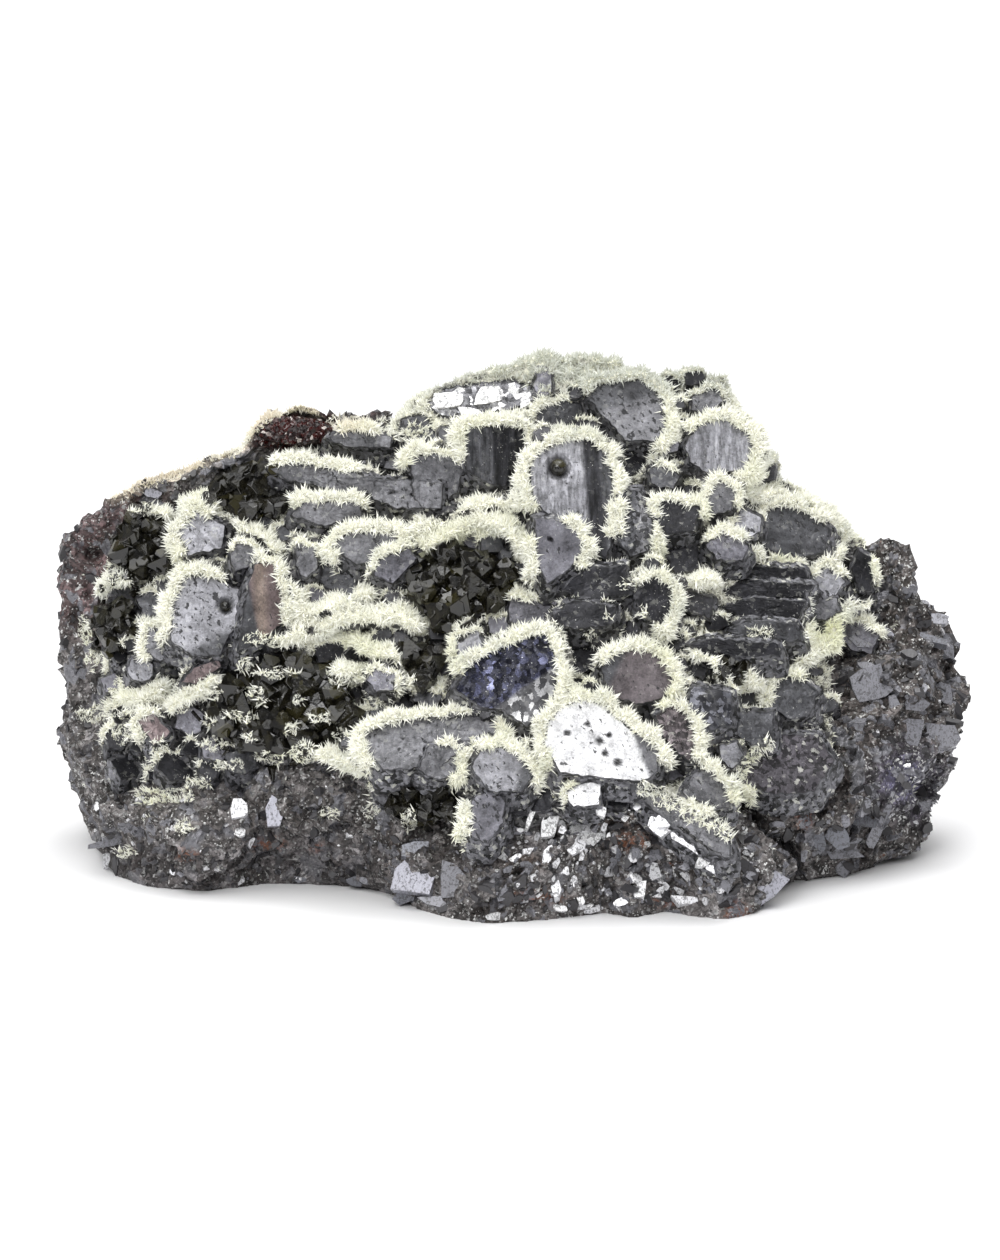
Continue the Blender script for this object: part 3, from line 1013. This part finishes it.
# tufts on other stone: across, up, half width, half height
tufts = [
    (-51.2, 35.8, 2.0, 1.0), (-52.6, 30.6, 2.4, 0.8), (-48.4, 22.6, 3.0, 1.2), (-59.6, 25.2, 3.2, 1.2),
    (-41.2, 23.6, 3.6, 2.0), (-33.0, 38.6, 4.0, 1.6), (-61.8, 35.2, 4.4, 1.0), (-48.8, 46.0, 5.2, 1.2),
    (-41.6, 46.0, 2.4, 1.4), (-53.4, 41.2, 1.6, 1.2), (-42.4, 34.0, 1.4, 1.0), (-72.6, 72.0, 4.4, 1.0),
    (-79.6, 57.6, 4.0, 1.2), (-83.8, 31.0, 4.4, 1.6), (-69.6, 14.8, 6.0, 1.8), (-66.4, 32.8, 2.4, 1.2),
    (-60.4, 37.2, 2.4, 1.2), (22.0, 57.0, 1.2, 0.8), (15.6, 47.2, 1.4, 0.9), (26.0, 51.8, 1.0, 1.3),
    (19.0, 50.6, 1.0, 0.6), (49.6, 47.6, 3.0, 1.0), (-36.4, 11.6, 2.0, 1.2), (-74.4, 34.0, 2.0, 2.4),
    (-78.8, 36.0, 2.4, 2.0), (-78.0, 27.0, 2.4, 2.0), (-70.4, 25.0, 1.6, 1.6), (-56.6, 21.0, 3.0, 1.2),
    (-63.0, 17.5, 3.0, 1.0), (-86.0, 48.0, 1.6, 3.0), (-84.5, 42.0, 1.6, 2.0), (-28.0, 12.0, 2.0, 1.4),
    (-20.5, 10.2, 1.6, 2.4), (-65.5, 8.5, 2.0, 1.4), (-77.5, 3.5, 2.4, 1.2), (-57.5, 84.2, 2.2, 1.4),
    (-55.4, 86.0, 1.8, 1.4), (-53.2, 87.8, 1.8, 1.4), (-51.2, 89.4, 1.8, 1.4), (-49.0, 91.2, 1.8, 1.2),
    (-46.6, 92.4, 2.0, 1.0), (-47, 39.4, 5.0, 0.9), (-56.4, 31.2, 2.0, 0.9), (-38.2, 30.4, 2.4, 1.1),
    (-44, 28.2, 1.4, 1.3), (-52.2, 26.6, 1.6, 0.8), (-34.2, 27.2, 2.0, 1.1), (-60.4, 29.6, 1.6, 0.9),
    (-49.6, 33.6, 1.2, 0.8), (-34.8, 89.6, 2.4, 1.5), (-30.8, 89.4, 2.4, 1.6), (-26.8, 88.6, 2.4, 1.6),
    (-22.8, 87.4, 2.4, 1.5), (-19.4, 86.2, 2.0, 1.3), (-18, 88.0, 3.0, 1.2), (26.4, 16.6, 1.8, 1.8),
    (29.4, 15.0, 2.0, 2.0), (32.4, 13.6, 2.2, 2.0), (35.4, 12.0, 2.2, 2.0), (38.2, 10.6, 2.0, 2.0),
    (40.8, 9.2, 1.8, 1.8), (42.6, 7.6, 1.2, 1.5), (45.4, 19.6, 1.4, 1.5), (46.8, 21.8, 1.4, 1.6),
    (48.6, 23.8, 1.4, 1.5), (50.8, 25.2, 1.2, 1.3), (7.0, 101.0, 3.0, 2.2), (11.0, 100.2, 3.0, 2.2),
    (15.0, 98.4, 2.6, 2.0), (49.0, 79.6, 2.6, 2.0), (60.0, 73.4, 2.2, 1.7), (64.4, 71.0, 2.2, 1.7),
    (-57.6, 84.2, 1.6, 1.1), (-54.8, 86.0, 1.6, 1.1), (-52.0, 88.2, 1.4, 1.1), (-49.4, 90.2, 1.4, 1.0),
    (-46.6, 92.0, 1.2, 0.9), (-44.0, 92.6, 1.2, 0.8), (-50.8, 89.2, 1.2, 0.9), (-60.4, 83.0, 1.6, 1.0),
    (-62.8, 81.4, 1.6, 0.9),
    (-2.0, 90.6, 4.0, 1.2), (6.5, 95.0, 1.4, 2.4), (-17.5, 92.4, 1.6, 1.4)]


def tuftSpots(surface, dice):
    places, normals = [], []
    for across, up, halfWidth, halfHeight in tufts:
        count = int(halfWidth * halfHeight * math.pi * needles["density"] * 0.9)
        angle, reach = dice.uniform(0, 2 * math.pi, count), np.sqrt(dice.random(count))
        for a, r in zip(angle, reach):
            lift = math.sin(across + a * 3) * 0.4
            found = surface.hit(across + math.cos(a) * r * halfWidth,
                                up + math.sin(a) * r * halfHeight + lift)
            if found:
                places.append(found[0])
                normals.append(found[1])
    return np.array(places), np.array(normals)


def scatterOn(points, triangles, weight, dice, share):
    # places, outward directions and triangles for needles, spread by area and weight
    corners = points[triangles] / mm
    cross = np.cross(corners[:, 1] - corners[:, 0], corners[:, 2] - corners[:, 0])
    area = np.linalg.norm(cross, axis=1) / 2
    chance = area * weight[triangles].mean(axis=1) * needles["density"] * share
    amount = dice.poisson(chance)
    pick = np.repeat(np.arange(len(triangles)), amount)
    u, v = np.sqrt(dice.random(len(pick))), dice.random(len(pick))
    mix = np.column_stack([1 - u, u * (1 - v), u * v])
    places = (corners[pick] * mix[:, :, None]).sum(axis=1)
    normals = cross[pick] / np.maximum(np.linalg.norm(cross[pick], axis=1, keepdims=True), 1e-9)
    return places, normals, pick


def growNeedles(crustMesh, blockMesh, rockMesh, surface):
    dice = np.random.default_rng(11)
    crustPoints, crustTriangles, dust = crustMesh
    blockPoints, blockTriangles, fur, size = blockMesh
    area = 0
    for points, triangles, weight in ((crustPoints, crustTriangles, dust),
                                      (blockPoints, blockTriangles, fur)):
        corners = points[triangles] / mm
        cross = np.cross(corners[:, 1] - corners[:, 0], corners[:, 2] - corners[:, 0])
        area += (np.linalg.norm(cross, axis=1) / 2 * weight[triangles].mean(axis=1)).sum()
    share = min(1.0, needles["most"] / (area * needles["density"]))
    onCrust = scatterOn(crustPoints, crustTriangles, dust, dice, share)
    onBlocks = scatterOn(blockPoints, blockTriangles, fur, dice, share)
    onRock = scatterOn(*rockMesh, dice, share)
    onTufts = tuftSpots(surface, dice)
    roots = np.concatenate([onCrust[0], onBlocks[0], onRock[0], onTufts[0]])
    normals = np.concatenate([onCrust[1], onBlocks[1], onRock[1], onTufts[1]])
    full = np.concatenate([dust[crustTriangles].mean(axis=1)[onCrust[2]],
                           size[blockTriangles].mean(axis=1)[onBlocks[2]],
                           np.full(len(onRock[0]), 0.2), np.full(len(onTufts[0]), 0.9)])
    count = len(roots)
    view = toView(roots * mm)
    across, up = view[:, 0], view[:, 1]
    aim = normals + np.array([0, 0, 0.22]) - np.array(intoView) * 0.12 + dice.normal(0, 0.42, (count, 3))
    aim /= np.linalg.norm(aim, axis=1, keepdims=True)
    clump = noiseField(view[:, :2], 0.8, 3.0)
    short = needles["dustLength"] + (1 - needles["dustLength"]) * np.clip(full * 1.1, 0, 1)
    large = dice.random(count) < needles["large"]
    length = np.where(large, dice.uniform(*needles["largeLength"], count),
                      dice.uniform(*needles["length"], count))
    length *= short * (1 + clump * 0.6)
    radius = np.where(large, dice.uniform(*needles["largeRadius"], count),
                      dice.uniform(*needles["radius"], count))
    radius *= 0.55 + 0.45 * short
    tint = np.tile(np.array(needles["cream"]), (count, 1))
    green = np.clip(noiseField(view[:, :2], 0.12, 7.0) * 2.2 - 0.2, 0, 1) * 0.45
    green = np.maximum(green, np.clip(1.2 - np.hypot(across - 64, up - 48) / 5, 0, 1))
    green = np.maximum(green, np.clip(1.1 - np.hypot((across + 10) / 1.6, up - 66) / 5, 0, 1) * 0.6)
    peach = np.clip(1.2 - np.hypot((across + 60) / 2.4, up - 81) / 4, 0, 1)
    peach = np.maximum(peach, np.clip(1.2 - np.hypot((across + 33) / 2, up - 89) / 3, 0, 1) * 0.6)
    peach = np.maximum(peach, np.clip(2 - distanceTo(view[:, :2], rock["rim"], False) / 1.6, 0, 1))
    ash = np.clip(noiseField(view[:, :2], 0.2, 1.0) * 2 - 0.35, 0, 1) * 0.4
    ash = np.maximum(ash, np.clip((up - 93) / 4, 0, 1) * 0.75)
    for amount, colour in ((green, "green"), (peach, "peach"), (ash, "ash")):
        tint = tint * (1 - amount[:, None]) + np.array(needles[colour]) * amount[:, None]
    tint *= dice.uniform(0.78, 1.03, (count, 1))
    print("needles", count)
    material = druseMaterial()
    for part in range(needles["pieces"]):
        pick = np.arange(part, count, needles["pieces"])
        spikes(f"druseNeedles{part + 1}", roots[pick] * mm, aim[pick], length[pick], radius[pick], tint[pick],
               material, dice)


def spikes(name, roots, aim, length, radius, tint, material, dice):
    # three-sided needles from their roots along their aims
    count = len(roots)
    helper = np.where(np.abs(aim[:, 2:3]) < 0.9, [[0, 0, 1.0]], [[1.0, 0, 0]])
    first = np.cross(aim, helper)
    first /= np.linalg.norm(first, axis=1, keepdims=True)
    second = np.cross(aim, first)
    spin = dice.uniform(0, 2 * math.pi, count)
    base = roots - aim * 0.3 * mm
    points = np.empty((count, 4, 3))
    for k in range(3):
        angle = spin + k * 2 * math.pi / 3
        ring = first * np.cos(angle)[:, None] + second * np.sin(angle)[:, None]
        points[:, k] = base + ring * (radius * mm)[:, None]
    points[:, 3] = roots + aim * (length * mm)[:, None]
    start = np.arange(count)[:, None, None] * 4
    faces = (start + np.array([[[0, 1, 3], [1, 2, 3], [2, 0, 3]]])).reshape(-1, 3)
    piece = addPiece(name, points.reshape(-1, 3), faces, material)
    paint(piece, "along", np.tile([0.0, 0.0, 0.0, 1.0], count))
    paint(piece, "tint", np.repeat(tint, 4, axis=0))


# single crystals at the lower left (across, up), and clusters: across, up, width, height, count
blende = {"lowerLeft": [
    (-61.4, 34.2), (-55.6, 41.4), (-51.2, 42.4), (-44.8, 42.0), (-39.2, 41.6), (-46.4, 37.8),
    (-51.4, 39.0), (-47.0, 33.4), (-38.4, 37.6), (-39.6, 35.0), (-33.2, 35.8), (-51.2, 34.2),
    (-51.8, 28.8), (-50.6, 26.6), (-56.8, 27.6), (-55.0, 32.2), (-45.0, 25.6), (-38.6, 31.2),
    (-34.8, 31.2), (-35.8, 27.8), (-32.4, 30.2), (-36.8, 25.6), (-29.6, 33.6), (-48.0, 19.4),
    (-57.4, 23.2), (-54.4, 36.0), (-42.4, 34.0), (-48.8, 36.0), (-42.4, 29.0), (-59.4, 31.0)],
    "size": (1.3, 2.7), "clusters": {
        "centre": (-10.4, 56.4, 23, 17, 64), "left": (-74, 64, 13, 17, 34),
        "upperLeft": (-53, 75.4, 18, 12, 38),
        "side": (-80, 49, 10, 13, 22), "front": (-17.4, 13.4, 15, 8, 26), "middle": (-18, 42.4, 9, 8, 12),
        "right": (44, 40.4, 7, 6, 10), "west": (-79, 57, 8, 6, 8), "low": (-46, 33, 34, 22, 60)},
    "balls": [("silverTall", 9.2, 80.4, 1.75), ("pittedLeft", -57.2, 52.8, 1.0)],
    "clusterSize": 0.85, "sunk": 0.35, "edge": 0.12}


def crystalShape(radius, dice):
    # corners of a tetrahedron with cut tips, uneven
    tips = [Vector(t).normalized() for t in ((1, 1, 1), (1, -1, -1), (-1, 1, -1), (-1, -1, 1))]
    cut = dice.uniform(0.24, 0.40)
    stretch = Vector((dice.uniform(0.85, 1.15), dice.uniform(0.85, 1.15), dice.uniform(0.85, 1.15)))
    return [((a * (1 - cut) + b * cut) * radius * 1.35) * stretch for a in tips for b in tips if a is not b]


def growBlende():
    dice = random.Random(5)
    spots = [(across, up, 1.0) for across, up in blende["lowerLeft"]]
    for across, up, width, height, count in blende["clusters"].values():
        for k in range(count):
            angle, reach = k * 2.4, math.sqrt((k + 0.5) / count)
            spots.append((across + math.cos(angle) * reach * width / 2 + dice.uniform(-0.5, 0.5),
                          up + math.sin(angle) * reach * height / 2 + dice.uniform(-0.5, 0.5),
                          blende["clusterSize"]))
    body = bmesh.new()
    for across, up, size in spots:
        found = skin.hit(across, up)
        if not found:
            continue
        radius = dice.uniform(*blende["size"]) * size
        centre = found[0] / mm + intoView * radius * blende["sunk"]
        turn = Vector((dice.gauss(0, 1), dice.gauss(0, 1), dice.gauss(0, 1))).to_track_quat("Z", "Y")
        made = [body.verts.new((centre + turn @ corner) * mm) for corner in crystalShape(radius, dice)]
        bmesh.ops.convex_hull(body, input=made)
    bmesh.ops.dissolve_limit(body, angle_limit=0.02, verts=body.verts, edges=body.edges)
    bmesh.ops.bevel(body, geom=body.edges[:], offset=blende["edge"] * mm, segments=1, affect="EDGES",
                    clamp_overlap=True)
    for name, across, up, radius in blende["balls"]:
        place = toWorld([[across, up, planeAt(name, across, up) + 0.2]])[0]
        bmesh.ops.create_icosphere(body, subdivisions=3, radius=radius * mm, matrix=Matrix.Translation(place))
    bmesh.ops.recalc_face_normals(body, faces=body.faces)
    mesh = bpy.data.meshes.new("sphaleriteCrystals")
    bmesh.ops.triangulate(body, faces=body.faces)
    body.to_mesh(mesh)
    body.free()
    material = sphaleriteMaterial()
    mesh.materials.append(material)
    piece = bpy.data.objects.new("sphaleriteCrystals", mesh)
    bpy.context.scene.collection.objects.link(piece)
    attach(piece, "root")
    for name, node in nodes.items():
        if name.startswith("sphalerite"):
            node.data.materials.clear()
            node.data.materials.append(material)
    return [(meshArrays(thing.data)[0], trianglesOf(thing.data)) for thing in
            [piece] + [node for name, node in nodes.items() if name.startswith("sphalerite")]]


class Surface:
    # everything grown so far, seen from the front
    def __init__(self, meshes):
        points, triangles, start = [], [], 0
        for places, corners in meshes:
            points.append(places)
            triangles.append(corners + start)
            start += len(places)
        self.tree = BVHTree.FromPolygons(np.concatenate(points).tolist(), np.concatenate(triangles).tolist())

    def hit(self, across, up):
        start = Vector((across, 0, 0)) + upView * up - intoView * 200
        place, normal, _, _ = self.tree.ray_cast(start * mm, intoView)
        if place is None:
            return None
        return place / mm, normal if normal.dot(intoView) < 0 else -normal


# plates of broken galena that stand out on the ore: across, up, half length, half width, turn, tone
plates = [
    (69.4, 45.6, 1.8, 0.8, -20, "lavender"), (72.2, 37.0, 3.2, 2.8, 10, "lavender"),
    (76.6, 33.6, 1.0, 1.4, 30, "lavender"), (75.6, 47.2, 1.2, 0.8, -25, "pale"),
    (68.8, 51.6, 1.2, 0.9, 0, "pale"), (86.8, 35.4, 1.4, 2.0, 10, "lavender"),
    (88.2, 44.8, 0.8, 2.2, 10, "lavender"), (86.2, 26.8, 3.0, 2.0, -20, "lavender"),
    (79.6, 27.4, 2.6, 3.0, 20, "lavender"), (84.4, 46.2, 3.0, 0.8, -15, "steel"),
    (73.6, 9.0, 0.8, 3.6, -25, "lavender"), (61.0, 6.6, 1.4, 2.4, 10, "steel"),
    (67.0, 5.6, 2.2, 0.6, 5, "lavender"), (58.4, 3.6, 0.6, 1.4, -20, "lavender"),
    (70.8, 10.8, 2.0, 1.8, 0, "steel"), (74.6, 10.8, 0.6, 2.0, -30, "lavender"),
    (51.6, -2.6, 2.9, 1.9, 30, "pale"), (7.4, 10.2, 1.4, 2.8, -20, "bright"),
    (3.6, 10.8, 0.5, 2.4, -20, "bright"), (14.8, 7.6, 2.6, 1.8, -15, "bright"),
    (7.0, 3.2, 0.8, 2.2, -20, "bright"), (8.7, -2.9, 0.7, 1.8, 0, "bright"),
    (10.6, 0.0, 0.6, 0.8, 0, "bright"), (29.3, 9.7, 2.2, 2.0, -30, "bright"),
    (27.7, 0.0, 2.0, 1.8, 0, "bright"), (25.0, -3.2, 1.2, 1.4, 10, "bright"),
    (29.3, -3.7, 1.4, 1.2, 0, "bright"), (34.1, -5.6, 2.0, 0.8, 0, "bright"),
    (22.0, -5.8, 1.4, 0.8, 10, "bright"), (13.5, -5.3, 0.6, 1.0, 0, "bright"),
    (9.5, -7.2, 1.0, 0.6, 0, "bright"), (20.2, 2.2, 3.0, 3.0, 30, "steel"),
    (-18.6, -0.2, 3.6, 3.6, 5, "pale"), (-12.0, -1.6, 2.4, 3.0, -20, "lavender"),
    (-14.6, -6.0, 3.0, 1.2, -20, "lavender"), (-19.0, 4.4, 2.4, 1.2, -8, "steel"),
    (-21.4, -4.6, 1.6, 1.6, 80, "steel"), (33.5, 6.6, 3.0, 0.7, -38, "bright"),
    (30.2, 10.4, 1.6, 1.4, 10, "bright"), (12.6, 4.8, 1.6, 1.2, 20, "bright"),
    (-2.0, -6.6, 2.0, 0.8, -10, "lavender"), (64.6, 7.4, 1.8, 3.0, 25, "steel"),
    (66.2, 3.4, 3.0, 1.0, 0, "lavender"), (81.0, 33.0, 1.6, 2.0, 40, "lavender"),
    (38.6, 1.4, 2.2, 0.6, -38, "bright"), (17.6, 12.2, 1.0, 1.0, 0, "bright"),
    (24.6, 13.0, 0.8, 1.0, 20, "bright"), (-80.2, 5.4, 3.2, 0.8, 20, "lavender"),
    (-47.4, 12.0, 1.6, 2.2, 0, "pale"), (-54.6, 7.8, 1.2, 1.2, 0, "bright"),
    (-54.2, 12.4, 1.4, 1.6, 0, "bright"), (-83.4, 12.4, 0.4, 0.8, 0, "bright"),
    (-42.4, -2.0, 1.2, 0.6, 0, "steel"), (-31.2, -2.2, 1.6, 0.8, 0, "steel"),
    (-72.2, 76.0, 1.7, 1.3, 0, "pale"), (-12.4, 94.0, 2.4, 1.2, 10, "bright"),
    (-4.4, 95.0, 2.0, 1.6, 0, "bright"), (2.6, 94.0, 1.0, 1.6, 0, "bright"),
    (-8.4, 91.6, 1.6, 0.8, 0, "bright"), (38, 2.0, 1.4, 0.8, 20, "bright"),
    (42.5, -2.0, 1.0, 1.6, -10, "lavender")]

cleavage = {"density": 0.11, "zone": 9.0, "half": (0.3, 1.5), "deep": 2.2, "proud": 0.35,
            "brightLift": 0.55, "edgeOn": 0.6, "edgeHalf": 0.7,
            "dull": (0.062, 0.060, 0.064), "steel": (0.195, 0.200, 0.225), "lavender": (0.26, 0.26, 0.285),
            "pale": (0.40, 0.40, 0.45), "bright": (0.92, 0.92, 0.94),
            # across, up, half width, half height, how many, share bright, share lavender, size
            "patches": [(20, 3, 30, 12, 2.3, 0.30, 0.26, 1.2), (74, 30, 22, 34, 1.1, 0.05, 0.34, 1.4),
                        (-50, 8, 34, 12, 1.2, 0.08, 0.10, 0.8)],
            "elsewhere": (0.3, 0.03, 0.15, 1.3), "flakeDeep": 0.9}


def plateCorners(dice, centre, normal, first, long, wide, deep):
    # an uneven flat block standing a little proud with broken edges, then the same sunk into the stone
    second = normal.cross(first).normalized()
    first = second.cross(normal)
    count = dice.choice((5, 7, 8, 9))
    skew = dice.uniform(-0.4, 0.4)
    ring = []
    for k in range(count):
        angle = (k + dice.uniform(0.25, 0.75)) * 2 * math.pi / count
        reach = dice.uniform(0.66, 1.12) / max(abs(math.cos(angle)), abs(math.sin(angle)))
        aside = math.sin(angle) * reach
        ring.append(centre + first * (math.cos(angle) * reach + aside * skew) * long + second * aside * wide)
    return [p + normal * cleavage["proud"] for p in ring], [p - normal * deep for p in ring]


def growCleavage(rockMesh, surface):
    # where galena in the ore is broken it splits into flat plates that lie alike over each small zone
    rng = np.random.default_rng(9)
    dice = random.Random(9)
    points, triangles, _ = rockMesh
    corners = points[triangles] / mm
    cross = np.cross(corners[:, 1] - corners[:, 0], corners[:, 2] - corners[:, 0])
    area = np.linalg.norm(cross, axis=1) / 2
    middle = corners.mean(axis=1)
    view = toView(middle * mm)
    inFront = cross @ np.array(intoView) < 0
    amount, bright, lavender, scale = (np.full(len(area), value) for value in cleavage["elsewhere"])
    for across, up, halfWidth, halfHeight, more, shine, pale, big in cleavage["patches"]:
        near = (np.hypot((view[:, 0] - across) / halfWidth, (view[:, 1] - up) / halfHeight) < 1) & inFront
        amount[near], bright[near], lavender[near], scale[near] = more, shine, pale, big
    covered = within(view[:, :2], crustField) & inFront & (view[:, 1] < 90)
    covered |= (distanceTo(view[:, :2], rock["rim"], False) < 6) & (view[:, 0] > -60)
    chance = area * amount * cleavage["density"] * (middle[:, 2] > 0.9) * ~covered
    wanted = []
    for t in np.repeat(np.arange(len(area)), rng.poisson(chance)):
        centre, normal = Vector(middle[t]), Vector(cross[t]).normalized()
        cell = noise.voronoi(centre / cleavage["zone"])[1][0]
        lean = noise.noise_vector(cell * 3.7 + Vector((1.3, 6.1, 2.9)))
        low, high = cleavage["half"]
        long = (low + (high - low) * dice.random() ** 2) * scale[t]
        if abs(normal.dot(intoView)) < cleavage["edgeOn"]:
            long = min(long, cleavage["edgeHalf"])
        roll = dice.random()
        kind = "bright" if roll < bright[t] else "lavender" if roll < bright[t] + lavender[t] else "dull"
        wide = long * dice.uniform(0.4, 0.9)
        wanted.append((centre, (normal + lean * 0.55).normalized(), lean.x * 9, long, wide, kind,
                       cleavage["flakeDeep"]))
    for across, up, long, wide, turn, kind in plates:
        found = surface.hit(across, up)
        if found:
            lift = cleavage["brightLift"] if kind == "bright" else 0.15
            normal = (found[1] * 0.4 - intoView * 0.9 + Vector((0, 0, lift))).normalized()
            wanted.append((found[0], normal, math.radians(turn), long * 1.3, wide * 1.3, kind,
                           cleavage["deep"]))
    verts, faces, tone = [], [], []
    for centre, normal, turn, long, wide, kind, deep in wanted:
        level = Vector((math.cos(turn), 0, math.sin(turn)))
        level = (level - normal * level.dot(normal)).normalized()
        top, under = plateCorners(dice, centre, normal, level, long, wide, deep)
        start, count = len(verts), len(top)
        middleTop, middleUnder = sum(top, Vector()) / count, sum(under, Vector()) / count
        verts += [Vector((p.x, p.y, max(p.z, 0.05))) * mm for p in top + under + [middleTop, middleUnder]]
        for k in range(count):
            after = (k + 1) % count
            faces += [[start + k, start + count + k, start + count + after],
                      [start + k, start + count + after, start + after],
                      [start + 2 * count, start + k, start + after],
                      [start + 2 * count + 1, start + count + after, start + count + k]]
        tone += [np.array(cleavage[kind]) * dice.uniform(0.7, 1.15)] * (2 * count + 2)
    piece = addPiece("cleavagePlates", np.array(verts), np.array(faces), cleavageMaterial())
    paint(piece, "tone", np.array(tone).clip(0, 0.95))
    print("cleavage plates", len(wanted))


grains = {"count": 700, "size": (0.3, 0.7), "half": (7.4, 3.3), "centre": (-44.2, 87.2)}


def lineHollow():
    # the sparkling grains in the hollow
    dice = random.Random(3)
    material = liningMaterial()
    nodes["hollow_lining"].data.materials.clear()
    nodes["hollow_lining"].data.materials.append(material)
    body = bmesh.new()
    for _ in range(grains["count"]):
        angle, reach = dice.uniform(0, 2 * math.pi), math.sqrt(dice.random())
        across = grains["centre"][0] + math.cos(angle) * reach * grains["half"][0]
        up = grains["centre"][1] + math.sin(angle) * reach * grains["half"][1]
        found = skin.hit(across, up)
        if not found or found[2] == "galena_crystals":
            continue
        radius = dice.uniform(*grains["size"])
        centre = found[0] / mm
        turn = Vector((dice.gauss(0, 1), dice.gauss(0, 1), dice.gauss(0, 1))).to_track_quat("Z", "Y")
        tips = [turn @ Vector(t) * radius for t in
                ((1, 0, 0), (-1, 0, 0), (0, 1, 0), (0, -1, 0), (0, 0, 1), (0, 0, -1))]
        made = [body.verts.new((centre + tip) * mm) for tip in tips]
        bmesh.ops.convex_hull(body, input=made)
    bmesh.ops.recalc_face_normals(body, faces=body.faces)
    mesh = bpy.data.meshes.new("hollowGrains")
    body.to_mesh(mesh)
    body.free()
    mesh.materials.append(material)
    piece = bpy.data.objects.new("hollowGrains", mesh)
    bpy.context.scene.collection.objects.link(piece)
    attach(piece, "root")
    return [(meshArrays(thing.data)[0], trianglesOf(thing.data)) for thing in (piece, nodes["hollow_lining"])]


studio = {"floor": (0.905, 0.905, 0.91), "low": (0.34, 0.34, 0.35), "high": (1.0, 1.0, 1.0),
          "worldStrength": 0.52,
          "sun": (-0.08, 0.04, 1.0), "sunSize": 80, "sunStrength": 2.6,
          "lamps": [("keyLamp", (-0.35, -1.0, 0.75), 0.6, 6.0), ("topLamp", (0.25, 0.1, 1.2), 0.4, 2.0)],
          "distance": 2.5, "lookAt": (-2.4, 48.0), "pictureHeight": 252.0, "sensor": 36.0}


def lightStage():
    scene = bpy.context.scene
    scene.view_settings.view_transform = "Standard"
    world = bpy.data.worlds.new("studioRoom")
    world.use_nodes = True
    tree = world.node_tree
    place = tree.nodes.new("ShaderNodeTexCoord")
    height = tree.nodes.new("ShaderNodeSeparateXYZ")
    ramp = tree.nodes.new("ShaderNodeValToRGB")
    tree.links.new(place.outputs["Generated"], height.inputs[0])
    tree.links.new(height.outputs["Z"], ramp.inputs[0])
    tree.links.new(ramp.outputs[0], tree.nodes["Background"].inputs[0])
    ramp.color_ramp.elements[0].color = (*studio["low"], 1)
    ramp.color_ramp.elements[0].position = 0.25
    ramp.color_ramp.elements[1].color = (*studio["high"], 1)
    ramp.color_ramp.elements[1].position = 0.75
    tree.nodes["Background"].inputs[1].default_value = studio["worldStrength"]
    scene.world = world
    floor = bpy.data.meshes.new("paleFloor")
    floor.from_pydata([(-4, -4, 0), (4, -4, 0), (4, 4, 0), (-4, 4, 0)], [], [(0, 1, 2, 3)])
    plain = Shader("floorPaper", Base_Color=(*studio["floor"], 1), Roughness=0.9)
    floor.materials.append(plain.material)
    stand = bpy.data.objects.new("paleFloor", floor)
    scene.collection.objects.link(stand)
    sun = bpy.data.lights.new("softSun", "SUN")
    sun.energy = studio["sunStrength"]
    sun.angle = math.radians(studio["sunSize"])
    holder = bpy.data.objects.new("softSun", sun)
    holder.rotation_euler = Vector(studio["sun"]).to_track_quat("Z", "Y").to_euler()
    scene.collection.objects.link(holder)
    target = Vector((0, 0, 0.045))
    for name, place, size, power in studio["lamps"]:
        lamp = bpy.data.lights.new(name, "AREA")
        lamp.shape = "DISK"
        lamp.size = size
        lamp.energy = power
        holder = bpy.data.objects.new(name, lamp)
        holder.location = place
        holder.rotation_euler = (target - Vector(place)).to_track_quat("-Z", "Y").to_euler()
        scene.collection.objects.link(holder)


def aimCamera():
    camera = bpy.data.cameras.new("photoCamera")
    camera.sensor_width = studio["sensor"]
    camera.lens = studio["sensor"] * studio["distance"] / (studio["pictureHeight"] * mm)
    camera.clip_end = 20
    holder = bpy.data.objects.new("photoCamera", camera)
    across, up = studio["lookAt"]
    middle = Vector((across * mm, 0, 0)) + upView * up * mm - intoView * 0.015
    holder.location = middle - intoView * studio["distance"]
    holder.rotation_euler = (math.pi / 2 - viewTilt, 0, 0)
    bpy.context.scene.collection.objects.link(holder)
    bpy.context.scene.camera = holder


rockMesh = makeRock()
print("ore shaped")
blockMesh = growCrystals()
print("crystals grown")
crustMesh = makeCrust()
print("crust shaped")
blendeMeshes = growBlende()
hollowMeshes = lineHollow()
surface = Surface([rockMesh[:2], blockMesh[:2], crustMesh[:2], *blendeMeshes, *hollowMeshes])
growCleavage(rockMesh, surface)
print("sphalerite, hollow and cleavage set")
growNeedles(crustMesh, blockMesh, rockMesh, surface)
lightStage()
aimCamera()
